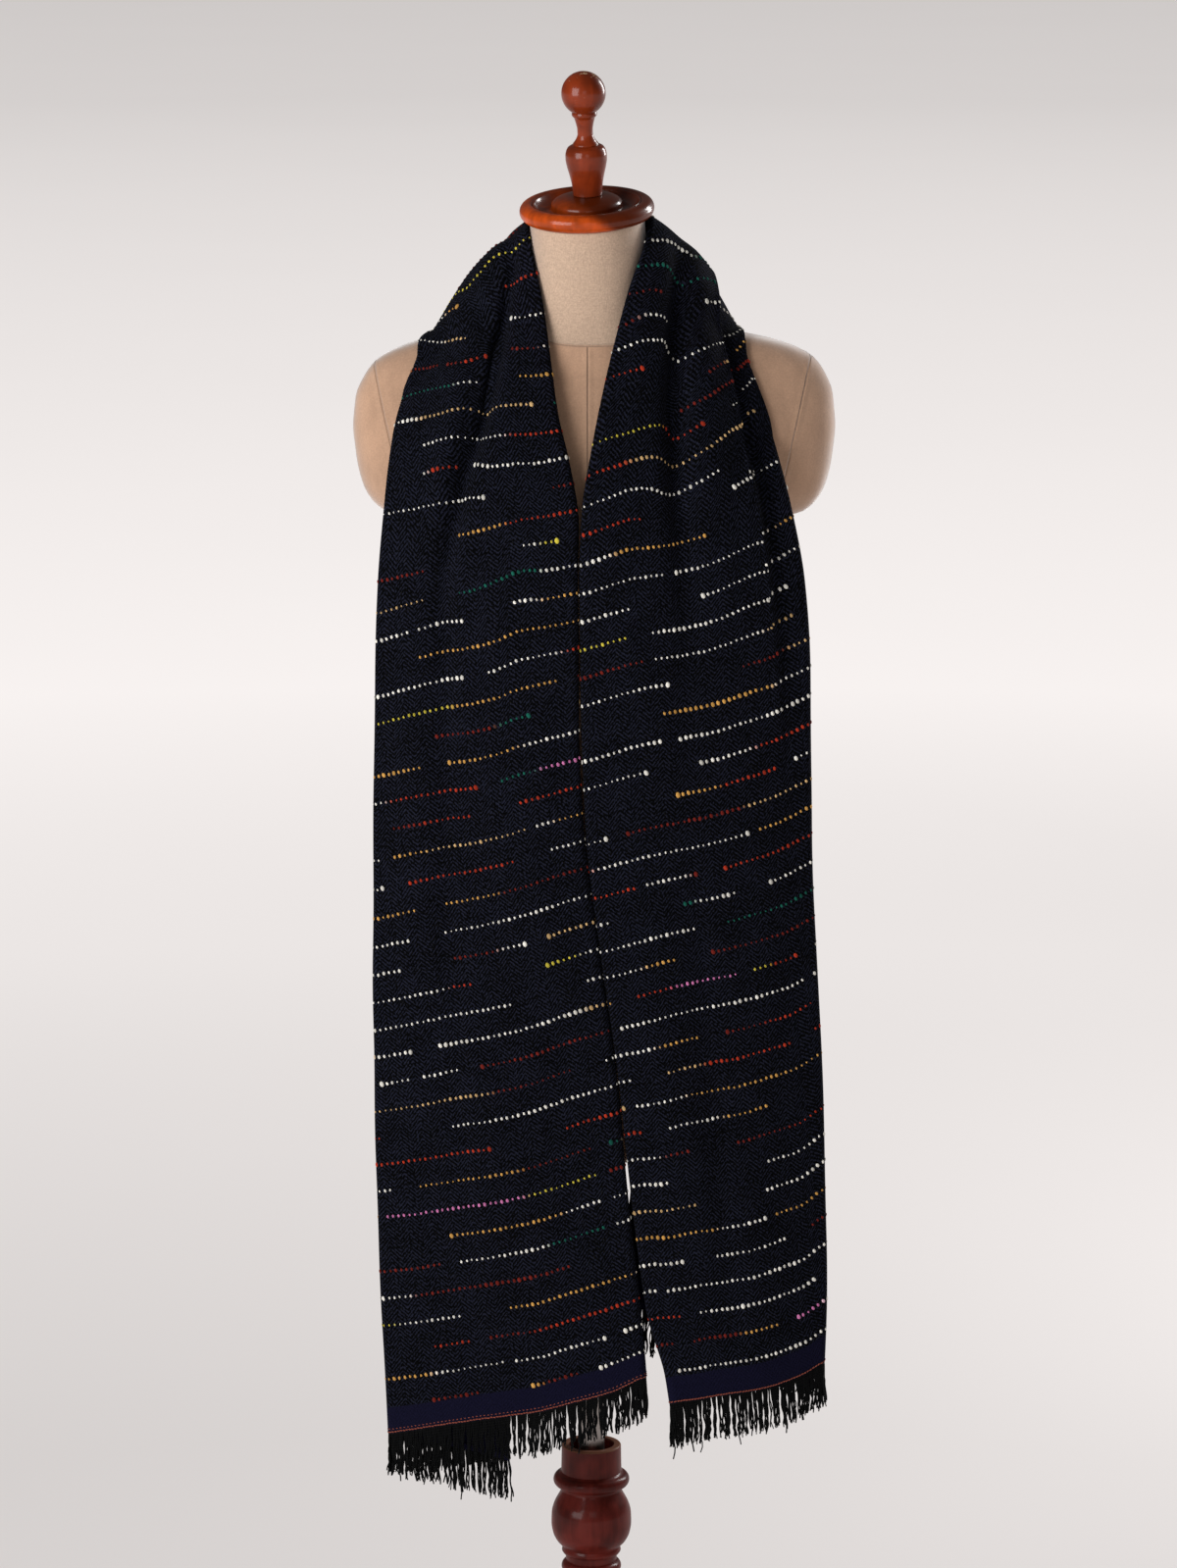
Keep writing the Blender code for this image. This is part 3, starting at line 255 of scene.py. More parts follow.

# Creases on the front: three points of a soft path in the front view, then the
# width and the depth (minus is a trough) in metres. Both ends fade out.
CREASE_COLUMNS = ("x0", "z0", "x1", "z1", "x2", "z2", "width", "depth")
FRONT_CREASES = (
    (-0.1010, 1.478, -0.0900, 1.455, -0.0760, 1.425, 0.0085, -0.0030),
    (-0.0600, 1.505, -0.0720, 1.445, -0.0900, 1.350, 0.0030, -0.0034),
    (-0.0690, 1.500, -0.0800, 1.445, -0.0990, 1.345, 0.0046, 0.0034),
    (-0.1290, 1.420, -0.1310, 1.360, -0.1330, 1.280, 0.0130, -0.0022),
    (-0.1120, 1.400, -0.1180, 1.330, -0.1210, 1.230, 0.0150, 0.0022),
    (-0.1000, 1.240, -0.1050, 1.100, -0.1010, 0.960, 0.0180, -0.0022),
    (-0.0560, 1.190, -0.0500, 1.050, -0.0480, 0.900, 0.0220, 0.0022),
    (-0.1400, 1.120, -0.1440, 0.960, -0.1430, 0.800, 0.0160, 0.0020),
    (-0.0300, 0.980, -0.0250, 0.850, -0.0120, 0.720, 0.0190, -0.0020),
    (-0.0900, 0.880, -0.0850, 0.760, -0.0860, 0.640, 0.0220, 0.0024),
    (-0.1250, 0.780, -0.1220, 0.690, -0.1180, 0.600, 0.0160, -0.0020),
    (0.0130, 1.410, 0.0130, 1.350, 0.0120, 1.270, 0.0110, 0.0018),
    (0.0400, 1.470, 0.0370, 1.420, 0.0330, 1.350, 0.0090, 0.0020),
    (0.0960, 1.420, 0.0980, 1.360, 0.1020, 1.280, 0.0130, 0.0022),
    (0.0790, 1.300, 0.0860, 1.200, 0.0900, 1.080, 0.0160, -0.0022),
    (0.0420, 1.240, 0.0450, 1.120, 0.0480, 0.980, 0.0210, 0.0022),
    (0.1300, 1.180, 0.1380, 1.050, 0.1420, 0.900, 0.0190, 0.0022),
    (0.0900, 1.000, 0.0980, 0.880, 0.1010, 0.760, 0.0200, -0.0020),
    (0.1540, 0.960, 0.1600, 0.830, 0.1620, 0.700, 0.0150, -0.0018),
    (0.0700, 0.840, 0.0800, 0.740, 0.0900, 0.640, 0.0190, 0.0022),
    (0.1300, 0.780, 0.1330, 0.700, 0.1380, 0.610, 0.0190, 0.0020),
)
# The same on the back of the neck, in the view from behind: x and z of the front view.
BACK_CREASES = (
    (-0.1050, 1.470, -0.0400, 1.440, 0.0300, 1.446, 0.0100, -0.0028),
    (-0.0700, 1.500, -0.0100, 1.478, 0.0500, 1.492, 0.0080, 0.0024),
    (-0.0500, 1.412, 0.0150, 1.404, 0.0800, 1.440, 0.0110, 0.0026),
    (0.0100, 1.480, 0.0500, 1.462, 0.1000, 1.452, 0.0090, -0.0024),
)

# Yarn colours of the woven-in dashes, and how common each is.
SLUB_COLUMNS = ("red", "green", "blue", "weight")
SLUB_COLOURS = (
    (0.840, 0.810, 0.730, 0.39),
    (0.640, 0.340, 0.085, 0.15),
    (0.420, 0.035, 0.014, 0.12),
    (0.160, 0.015, 0.010, 0.13),
    (0.009, 0.105, 0.075, 0.05),
    (0.620, 0.520, 0.060, 0.06),
    (0.620, 0.190, 0.410, 0.04),
    (0.640, 0.420, 0.190, 0.06),
)
# Usual lengths of a dash and of the bare stretch after it, and how far an ordinary dot stands up.
DASH_LENGTHS = (0.04, 0.06, 0.08, 0.10, 0.12, 0.14, 0.17, 0.20)
DASH_GAPS = (0.006, 0.012, 0.018, 0.026, 0.040, 0.060, 0.085)
DOT_HEIGHT = 0.00075

# Stitches along the hems: the step, and half the size across, along and up.
STITCH_STEP = 0.0026
STITCH_SIZE = (0.00150, 0.00058, 0.00055)
FINE_STITCH_STEP = 0.0034
FINE_STITCH_SIZE = (0.00095, 0.00042, 0.00040)

# Threads of the fringe: the radius at the top, and how far above the hem a thread starts.
THREAD_RADIUS = 0.00066
THREAD_START = 0.003
THREAD_STEPS = 12
THREAD_SIDES = 5

# Twill of the cloth: the height of a rib and the length of its zigzag.
TWILL_RIB = 0.0034
TWILL_ZIGZAG = 0.0190

# ---------------------------------------------------------------- stage
# How much the floor glows at each distance from the object: brightest a few metres off.
FLOOR_GLOW_REACH = 40.0
FLOOR_GLOW = ((0.0, 0.33), (1.6, 0.40), (4.0, 0.73), (6.4, 0.91), (11.4, 0.82), (25.0, 0.635), (40.0, 0.58))
FLOOR_HALF = 70.0
FLOOR_Z = -0.0005
SURROUNDINGS_COLOUR = (1.0, 0.97, 0.955, 1.0)

# Soft lights: where each stands, its width and height, and the setting that holds its power.
LIGHT_COLUMNS = ("name", "place", "size", "power")
LIGHTS = (
    ("left_softbox", (-2.15, -2.25, 2.05), (1.9, 2.0), "left_light"),
    ("right_softbox", (2.3, 2.1, 2.3), (0.8, 1.7), "right_light"),
    ("front_softbox", (0.3, -3.8, 2.1), (1.4, 1.0), "front_light"),
)
LIGHTS_AIM = (0.0, 0.0, 1.15)

# The camera, with the focal length in pixels of a picture of this height.
CAMERA_PLACE = (-0.0024, -4.183, 1.897)
CAMERA_DIP = math.radians(11.24)
PICTURE_HEIGHT = 1599.0
FOCAL_PIXELS = 5300.0
SENSOR_SIZE = 36.0


# ---------------------------------------------------------------- settings
def length_setting(name, description, default, low=0.0):
    """A length that a user can change."""
    return FloatProperty(
        name=name, description=description, default=default, min=low, subtype="DISTANCE", unit="LENGTH"
    )


def colour_setting(name, description, default):
    """A colour that a user can change."""
    return FloatVectorProperty(
        name=name, description=description, default=default, subtype="COLOR", size=3, min=0.0, max=1.0
    )


def power_setting(name, description, default):
    """The power of a lamp."""
    return FloatProperty(
        name=name, description=description, default=default, min=0.0, subtype="POWER", unit="POWER"
    )


class ScarfSettings(bpy.types.PropertyGroup):
    """Sizes and colours of the scarf"""

    slub_pitch: length_setting(
        "Dash row pitch", "Distance between two rows of dashes along the scarf", 0.0224, 0.005
    )
    slub_spacing: length_setting("Dot spacing", "Distance between two dots of a dash", 0.0048, 0.002)
    slub_size: length_setting("Dot size", "Length of an ordinary dot along the scarf", 0.0033, 0.0005)
    band_height: length_setting("Hem band", "Height of the plain band above each hem", 0.0222)
    fringe_length: length_setting("Fringe length", "Usual length of a fringe thread", 0.0345, 0.005)
    fringe_threads: IntProperty(
        name="Fringe threads", description="Threads in each fringe", default=500, min=50, max=700
    )
    cloth_colour: colour_setting("Cloth", "Dark yarn of the cloth", (0.0010, 0.0010, 0.0012))
    fleck_colour: colour_setting("Blue yarn", "Blue yarn of the twill", (0.0125, 0.0140, 0.0262))
    band_colour: colour_setting("Hem band colour", "Plain band above each hem", (0.0070, 0.0066, 0.0220))
    fringe_colour: colour_setting("Fringe colour", "Loose yarn ends", (0.0026, 0.0027, 0.0029))
    stitch_colour: colour_setting("Stitches", "Thread that is sewn along each hem", (0.300, 0.080, 0.050))


class FormSettings(bpy.types.PropertyGroup):
    """Colours and seams of the dress form"""

    body_colour: colour_setting("Body", "Napped cloth of the body", (0.470, 0.290, 0.190))
    neck_colour: colour_setting("Neck", "Woven cloth of the neck", (0.515, 0.368, 0.268))
    seam_width: length_setting("Seam width", "Half width of the groove at a seam", 0.0009, 0.0002)


class StandSettings(bpy.types.PropertyGroup):
    """Colours of the turned wood"""

    finial_colour: colour_setting(
        "Finial", "Light colour of the finial's stained wood", (0.190, 0.024, 0.0045)
    )
    cap_colour: colour_setting("Cap", "Light colour of the cap's stained wood", (0.500, 0.066, 0.005))
    post_colour: colour_setting(
        "Post and base", "Light colour of the dark stained wood", (0.104, 0.0135, 0.0095)
    )
    sides: IntProperty(
        name="Facets", description="Facets round a turned piece", default=96, min=24, max=160
    )


class StageSettings(bpy.types.PropertyGroup):
    """Light and floor"""

    surroundings: FloatProperty(
        name="Surroundings", description="Strength of the light from all round", default=0.115, min=0.0
    )
    floor_colour: colour_setting("Floor", "Colour of the floor", (0.96, 0.915, 0.90))
    left_light: power_setting("Left light", "Power of the large light at the left", 92.0)
    right_light: power_setting("Right light", "Power of the light behind at the right", 86.0)
    front_light: power_setting("Front light", "Power of the light above the camera", 6.0)


# ---------------------------------------------------------------- shader building
class Wire:
    """One socket of a finish's node tree. Arithmetic on it adds Math nodes."""

    def __init__(self, finish, socket):
        self.finish = finish
        self.socket = socket

    def maths(self, operation, *others, turned=False):
        values = [self, *others]
        if turned:
            values.reverse()
        return self.finish.node(
            "ShaderNodeMath", {"operation": operation}, dict(enumerate(values))
        )

    def __add__(self, other):
        return self.maths("ADD", other)

    def __sub__(self, other):
        return self.maths("SUBTRACT", other)

    def __mul__(self, other):
        return self.maths("MULTIPLY", other)

    def __truediv__(self, other):
        return self.maths("DIVIDE", other)

    def __radd__(self, other):
        return self.maths("ADD", other, turned=True)

    def __rsub__(self, other):
        return self.maths("SUBTRACT", other, turned=True)

    def __rmul__(self, other):
        return self.maths("MULTIPLY", other, turned=True)

    def __rtruediv__(self, other):
        return self.maths("DIVIDE", other, turned=True)


class Finish:
    """A material with its main shader, and the one method that adds any other node."""

    def __init__(self, name, roughness, **sockets):
        self.material = bpy.data.materials.new(name)
        self.material.use_nodes = True
        self.tree = self.material.node_tree
        self.shader = self.tree.nodes["Principled BSDF"]
        self.shader.inputs["Roughness"].default_value = roughness
        for socket, value in sockets.items():
            self.shader.inputs[socket.replace("_", " ")].default_value = value

    def node(self, kind, settings=None, sockets=None, out=0):
        """Adds a node of that type: its settings first, then its sockets' values or links."""
        made = self.tree.nodes.new(kind)
        for name, value in (settings or {}).items():
            if name == "stops":
                ramp = made.color_ramp
                while len(ramp.elements) < len(value):
                    ramp.elements.new(1.0)
                for element, (place, colour) in zip(ramp.elements, value):
                    element.position = place
                    element.color = (*colour, 1.0)
            else:
                setattr(made, name, value)
        for key, value in (sockets or {}).items():
            self.feed(self.find(made.inputs, key), value)
        return Wire(self, self.find(made.outputs, out))

    @staticmethod
    def find(sockets, key):
        if isinstance(key, int):
            return sockets[key]
        return next(socket for socket in sockets if key in (socket.identifier, socket.name))

    def feed(self, socket, value):
        if isinstance(value, Wire):
            self.tree.links.new(value.socket, socket)
        elif isinstance(value, (tuple, list)) and socket.type == "RGBA" and len(value) == 3:
            socket.default_value = (*value, 1.0)
        else:
            socket.default_value = value

    def set(self, name, value):
        self.feed(self.shader.inputs[name], value)

    def position(self):
        return self.node("ShaderNodeTexCoord", out="Object")

    def parts(self, vector):
        """The three components of a vector."""
        split = self.node("ShaderNodeSeparateXYZ", sockets={0: vector})
        return [Wire(self, split.socket.node.outputs[index]) for index in range(3)]

    def scaled(self, vector, scale):
        return self.node(
            "ShaderNodeVectorMath", {"operation": "MULTIPLY"}, {0: vector, 1: tuple(scale)}
        )

    def noise(self, vector, scale, detail=3.0, roughness=0.5, distortion=0.0):
        return self.node(
            "ShaderNodeTexNoise", None,
            {"Vector": vector, "Scale": scale, "Detail": detail, "Roughness": roughness,
             "Distortion": distortion},
            "Fac",
        )

    def mix(self, share, first, second, blend="MIX"):
        return self.node(
            "ShaderNodeMix", {"data_type": "RGBA", "blend_type": blend},
            {"Factor_Float": share, "A_Color": first, "B_Color": second}, "Result_Color",
        )

    def shaded(self, colour, shade):
        """A colour made darker or lighter by a value."""
        grey = self.node("ShaderNodeCombineColor", None, {0: shade, 1: shade, 2: shade})
        return self.mix(1.0, colour, grey, "MULTIPLY")

    def length(self, vector):
        return self.node("ShaderNodeVectorMath", {"operation": "LENGTH"}, {0: vector}, "Value")

    def band(self, value, low, high):
        """0 below low and 1 above high, with a soft step between them."""
        return self.node(
            "ShaderNodeMapRange", {"interpolation_type": "SMOOTHSTEP"},
            {"Value": value, "From Min": low, "From Max": high}, "Result",
        )

    def bump(self, height, distance, strength=1.0, under=None):
        sockets = {"Height": height, "Distance": distance, "Strength": strength}
        if under is not None:
            sockets["Normal"] = under
        return self.node("ShaderNodeBump", None, sockets, "Normal")


def toned(colour, factor):
    """A plain colour made darker or lighter."""
    return tuple(min(1.0, channel * factor) for channel in colour)


def wool_finish(settings):
    """Soft dark wool in narrow zigzag ribs, heathered with blue and grey, with a band at each hem."""
    made = Finish("dark_wool_twill", 1.0, Specular_IOR_Level=0.03, Sheen_Weight=0.02, Sheen_Roughness=0.5)
    made.shader.inputs["Sheen Tint"].default_value = (0.45, 0.45, 0.50, 1.0)
    place = made.node("ShaderNodeAttribute", {"attribute_name": "cloth_place"}, out="Vector")
    run, row, _ = made.parts(place)
    wobble = made.noise(place, 260.0, 2.0) * 0.0016
    zigzag = run.maths("PINGPONG", TWILL_ZIGZAG / 2)
    rib = ((row + zigzag + wobble) * (math.tau / TWILL_RIB)).maths("SINE") * 0.5 + 0.5
    speck = made.noise(made.scaled(place, (560.0, 400.0, 1.0)), 1.0, 2.0, 0.65)
    fuzz = made.noise(made.position(), 760.0, 3.0, 0.8)
    cloudy = made.noise(place, 34.0, 3.0)
    blue_share = made.band(rib * 0.36 + speck * 1.45 + cloudy * 0.25, 0.98, 1.26)
    body = made.mix(blue_share, tuple(settings.cloth_colour), tuple(settings.fleck_colour))
    body = made.mix(made.band(fuzz, 0.58, 0.68) * 0.50, body, (0.0170, 0.0160, 0.0155))
    from_hem = (row - LEFT_HEM).maths("MINIMUM", RIGHT_HEM - row)
    top, softness = settings.band_height, 0.0006
    in_band = 1 - made.band(from_hem + wobble * 0.4, top - softness, top + softness)
    band_tone = made.mix(speck, (0.0045, 0.0042, 0.0110), tuple(settings.band_colour))
    colour = made.mix(in_band, body, band_tone)
    made.set("Base Color", made.shaded(colour, fuzz * 1.1 + 0.45))
    height = rib * 0.40 + speck * 0.9 + fuzz * 0.5
    made.set("Normal", made.bump(height, 0.0010, 0.85))
    return made.material


def slub_finish():
    """Thick soft yarn, in the colour that each dot carries."""
    made = Finish("dash_yarn", 0.95, Specular_IOR_Level=0.05, Sheen_Weight=0.04)
    colour = made.node("ShaderNodeAttribute", {"attribute_name": "yarn_colour"}, out="Color")
    fibre = made.noise(made.scaled(made.position(), (2200.0, 2200.0, 700.0)), 1.0, 2.0, 0.6)
    made.set("Base Color", made.shaded(colour, fibre * 0.5 + 0.72))
    made.set("Normal", made.bump(fibre, 0.0004, 0.6))
    return made.material


def yarn_finish(name, colour, contrast):
    """Twisted yarn: slanting strands along each thread, by the attribute that runs along it."""
    made = Finish(name, 0.95, Specular_IOR_Level=0.05, Sheen_Weight=0.02)
    place = made.node("ShaderNodeAttribute", {"attribute_name": "thread_place"}, out="Vector")
    turn, along, shade = made.parts(place)
    twist = ((turn * 2.0 + along / 0.0022) * math.tau).maths("SINE") * 0.5 + 0.5
    fuzz = made.noise(made.position(), 1800.0, 2.0, 0.6)
    tone = made.band(twist * 0.6 + fuzz * 0.6 + shade * 0.3, 0.2, 1.2)
    made.set("Base Color", made.mix(tone, toned(colour, 1 - contrast), toned(colour, 1 + contrast)))
    made.set("Normal", made.bump(twist + fuzz * 0.4, 0.0003, 0.7))
    return made.material


def form_finish(settings):
    """Napped tan cloth on the body, woven heathered cloth on the neck, and the seams between."""
    made = Finish("form_cloth", 0.85, Specular_IOR_Level=0.10, Sheen_Weight=1.0, Sheen_Roughness=0.42)
    made.shader.inputs["Sheen Tint"].default_value = (1.0, 0.99, 0.99, 1.0)
    where = made.position()
    x, y, z = made.parts(where)
    body = tuple(settings.body_colour)
    neck = tuple(settings.neck_colour)
    nap = made.noise(where, 14.0, 4.0, 0.6)
    grain = made.noise(where, 700.0, 3.0, 0.6)
    streak = made.noise(made.scaled(where, (90.0, 90.0, 22.0)), 1.0, 3.0, 0.6)
    clouded = made.band(nap * 0.65 + streak * 0.35, 0.30, 0.72)
    napped = made.mix(clouded, toned(body, 0.84), toned(body, 1.10))
    warp = made.noise(made.scaled(where, (1300.0, 1300.0, 260.0)), 1.0, 2.0, 0.6)
    weft = made.noise(made.scaled(where, (240.0, 240.0, 1500.0)), 1.0, 2.0, 0.6)
    heather = made.band(warp * 0.40 + weft * 0.35 + grain * 0.25, 0.34, 0.66)
    woven = made.mix(heather, toned(neck, 0.88), toned(neck, 1.08))
    above = z - (NECK_SEAM_Z + (y - NECK_SEAM_AT_Y) * NECK_SEAM_SLOPE)
    neck_share = made.band(above, -0.0004, 0.0004)
    colour = made.mix(neck_share, napped, woven)

    width = settings.seam_width
    away = 9.0
    neck_seam = (above / width).maths("ABSOLUTE")
    middle_seam = ((x - MIDDLE_SEAM_X) / width).maths("ABSOLUTE") + made.band(above, -0.001, 0.0) * away
    cap_line = CAP_SEAM_X + (z - CAP_SEAM_AT_Z) * CAP_SEAM_SLOPE
    cap_seam = ((x.maths("ABSOLUTE") - cap_line) / width).maths("ABSOLUTE")
    cap_seam = cap_seam + made.band(z, CAP_SEAM_ENDS[1], CAP_SEAM_ENDS[0]) * away
    nearest = neck_seam.maths("MINIMUM", middle_seam).maths("MINIMUM", cap_seam)
    groove = 1 - made.band(nearest, 0.2, 1.3)
    swell = 1 - made.band(nearest, 1.3, 6.0)
    colour = made.mix(groove * 0.24, colour, toned(body, 0.50))
    made.set("Base Color", made.shaded(colour, grain * 0.5 + 0.76))
    weave = made.node(
        "ShaderNodeMix", {"data_type": "FLOAT"},
        {"Factor_Float": neck_share, "A_Float": grain * 0.5, "B_Float": heather * 0.6 + grain * 0.3},
        "Result_Float",
    )
    made.set("Normal", made.bump(weave * 0.22 + swell * 0.5 - groove, 0.0010, 0.8))
    return made.material


def wood_finish(
    name, colour, dark_share, gloss, chips_above=None, bare_above=None, painted_shade_from=None, dish=None
):
    """Stained and varnished turned wood with a faint grain along the axis. It can be chipped or bare above
    a height, carry painted shade on one side, and carry painted shade inside a dish of that radius on the
    neck."""
    made = Finish(name, 0.45, Coat_Weight=gloss, Coat_Roughness=0.17, Specular_IOR_Level=0.05)
    where = made.position()
    x, y, z = made.parts(where)
    grain = made.noise(made.scaled(where, (210.0, 210.0, 20.0)), 1.0, 3.0, 0.55, 0.6)
    pores = made.noise(made.scaled(where, (900.0, 900.0, 70.0)), 1.0, 2.0, 0.6)
    cloudy = made.noise(where, 42.0, 2.0)
    dark = toned(colour, dark_share)
    tone = made.band(grain * 0.35 + cloudy * 0.75, 0.36, 0.74)
    stained = made.mix(tone, dark, toned(colour, 1.2))
    stained = made.mix(made.band(pores, 0.60, 0.74) * 0.22, stained, dark)
    height = grain * 0.1 - made.band(pores, 0.6, 0.75) * 0.3
    # Painted shade: from this place on, the wood turns much darker towards the right and the top, standing
    # in for the side turned away from the light.
    if painted_shade_from is not None:
        shadowed = made.band(x + z * 1.5 + cloudy * 0.012, painted_shade_from, painted_shade_from + 0.016)
        stained = made.mix(shadowed * 0.88, stained, toned(colour, 0.12))
    # Painted shade: the dome and the dish inside this radius are made much darker, standing in for shade
    # and dark reflections on the cap's top.
    if dish is not None:
        across = made.node("ShaderNodeCombineXYZ", None, {0: x - NECK_CENTRE[0], 1: y - NECK_CENTRE[1]})
        out = made.length(across)
        painted_dish_shade = made.band(out, 0.0, 0.002) - made.band(out, dish, dish + 0.003)
        stained = made.mix(painted_dish_shade * 0.66, stained, toned(colour, 0.14))
    if chips_above is not None:
        high = made.band(z + x * 0.25, chips_above + 0.005, chips_above + 0.017)
        worn = made.noise(where, 260.0, 3.0, 0.7) + high * 0.20
        chip = made.band(worn, 0.74, 0.765) * (1 - made.band(x, 0.0080, 0.0100))
        stained = made.mix(chip, stained, (0.50, 0.33, 0.20))
        made.set("Coat Weight", gloss - chip * gloss)
        height = height - chip * 1.2
    if bare_above is not None:
        bare = made.band(z, bare_above - 0.0004, bare_above)
        stained = made.mix(bare, stained, (0.17, 0.075, 0.045))
        made.set("Coat Weight", gloss - bare * gloss * 0.7)
    made.set("Base Color", stained)
    made.set("Normal", made.bump(height, 0.0003, 0.25))
    return made.material


def steel_finish():
    """Drawn steel, faintly smudged."""
    made = Finish("drawn_steel", 0.32, Metallic=1.0)
    where = made.position()
    drawn = made.noise(made.scaled(where, (1500.0, 1500.0, 22.0)), 1.0, 3.0, 0.6)
    smudge = made.noise(where, 30.0, 3.0)
    made.set("Base Color", made.mix(smudge, (0.24, 0.21, 0.20), (0.36, 0.33, 0.31)))
    made.set("Roughness", drawn * 0.25 + 0.22)
    made.set("Normal", made.bump(drawn, 0.0002, 0.25))
    return made.material


def floor_finish(colour):
    """Pale matt floor, lit from within so that it stays pale all round under dim room light."""
    made = Finish("pale_floor", 0.9, Specular_IOR_Level=0.05, Emission_Strength=1.0)
    where = made.position()
    stops = [(place / FLOOR_GLOW_REACH, (level, level, level)) for place, level in FLOOR_GLOW]
    grey = made.node(
        "ShaderNodeValToRGB", {"stops": stops}, {"Fac": made.length(where) / FLOOR_GLOW_REACH}, "Color"
    )
    tone = made.mix(made.noise(where, 0.8, 2.0), tuple(colour), toned(colour, 0.985))
    made.set("Base Color", made.mix(0.5, tone, (0.0, 0.0, 0.0)))
    made.set("Emission Color", made.mix(1.0, grey, tone, "MULTIPLY"))
    return made.material


# ---------------------------------------------------------------- shape helpers
def smooth_columns(places, table, at):
    """Each column of the table at the given places, along cubic curves that don't overshoot."""
    places = np.asarray(places, float)
    table = np.asarray(table, float)
    at = np.clip(np.asarray(at, float), places[0], places[-1])
    span = np.diff(places)[:, None]
    rise = np.diff(table, axis=0) / span
    slope = np.zeros_like(table)
    same_way = rise[:-1] * rise[1:] > 0
    total = np.where(same_way, rise[:-1] + rise[1:], 1.0)
    slope[1:-1] = np.where(same_way, 2.0 * rise[:-1] * rise[1:] / total, 0.0)
    slope[0] = rise[0]
    slope[-1] = rise[-1]
    cell = np.clip(np.searchsorted(places, at, side="right") - 1, 0, len(places) - 2)
    step = span[cell, 0]
    t = ((at - places[cell]) / step)[..., None]
    step = step[..., None]
    keep = (1 + 2 * t) * (1 - t) ** 2
    reach = t * t * (3 - 2 * t)
    return (
        keep * table[cell]
        + reach * table[cell + 1]
        + t * (1 - t) ** 2 * step * slope[cell]
        - t * t * (1 - t) * step * slope[cell + 1]
    )


def soft_step(value):
    """0 below 0 and 1 above 1, with no corner."""
    value = np.clip(value, 0.0, 1.0)
    return value * value * (3 - 2 * value)


def grid_faces(rows, columns, closed=False, start=0):
    """Quads of a grid whose points run column by column in each row."""
    across = np.arange(columns if closed else columns - 1)
    row, column = np.meshgrid(np.arange(rows - 1), across, indexing="ij")
    after = (column + 1) % columns
    low = start + row * columns
    high = low + columns
    return np.stack([low + column, low + after, high + after, high + column], axis=-1).reshape(-1, 4)


def add_piece(name, points, faces, finish, body, stands_for=(), smooth_angle=None):
    """Adds a mesh piece that rides on a body and stands for the named solids."""
    mesh = bpy.data.meshes.new(name)
    mesh.from_pydata(np.asarray(points).tolist(), [], [list(map(int, face)) for face in faces])
    mesh.materials.append(finish)
    mesh.shade_smooth()
    if smooth_angle:
        mesh.set_sharp_from_angle(angle=math.radians(smooth_angle))
    piece = bpy.data.objects.new(name, mesh)
    bpy.context.scene.collection.objects.link(piece)
    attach(piece, body)
    if stands_for:
        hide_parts(*stands_for)
    return piece


def point_vectors(piece, name, values):
    """Gives each point of a piece a vector that its finish reads."""
    made = piece.data.attributes.new(name, "FLOAT_VECTOR", "POINT")
    made.data.foreach_set("vector", np.asarray(values, np.float32).ravel())


def point_colours(piece, name, values):
    """Gives each point of a piece a colour that its finish reads."""
    made = piece.data.color_attributes.new(name, "FLOAT_COLOR", "POINT")
    solid = np.ones((len(values), 1))
    made.data.foreach_set("color", np.concatenate([values, solid], axis=1).astype(np.float32).ravel())


def arc(centre, radius, start_deg, end_deg, steps):
    """Points of a turned profile along an arc, as (distance from the axis, height)."""
    points = []
    for step in range(steps + 1):
        angle = math.radians(start_deg + (end_deg - start_deg) * step / steps)
        points.append((centre[0] + radius * math.cos(angle), centre[1] + radius * math.sin(angle)))
    return points


def eased(points, steps=6):
    """A profile drawn through the given points along a smooth curve."""
    points = np.array(points)
    runs = np.concatenate([[0.0], np.cumsum(np.linalg.norm(np.diff(points, axis=0), axis=1))])
    at = np.unique(np.concatenate([np.linspace(a, b, steps + 1) for a, b in zip(runs, runs[1:])]))
    return [tuple(point) for point in smooth_columns(runs, points, at)]


def turned_points(profile, sides):
    """Points and faces of a profile spun round the Z axis. Its ends lie on the axis."""
    rings = [point for point in profile if point[0] > 1e-7]
    turn = np.arange(sides) / sides * math.tau
    ring = np.array(rings)
    points = np.stack(
        [
            ring[:, :1] * np.cos(turn)[None], ring[:, :1] * np.sin(turn)[None],
            np.repeat(ring[:, 1:2], sides, axis=1),
        ],
        axis=-1,
    ).reshape(-1, 3)
    faces = [list(face[::-1]) for face in grid_faces(len(rings), sides, closed=True)]
    ends = np.array([[0, 0, profile[0][1]], [0, 0, profile[-1][1]]])
    first = len(points)
    points = np.concatenate([points, ends])
    last_ring = (len(rings) - 1) * sides
    for side in range(sides):
        after = (side + 1) % sides
        faces.append([first, side, after])
        faces.append([first + 1, last_ring + after, last_ring + side])
    return points, faces


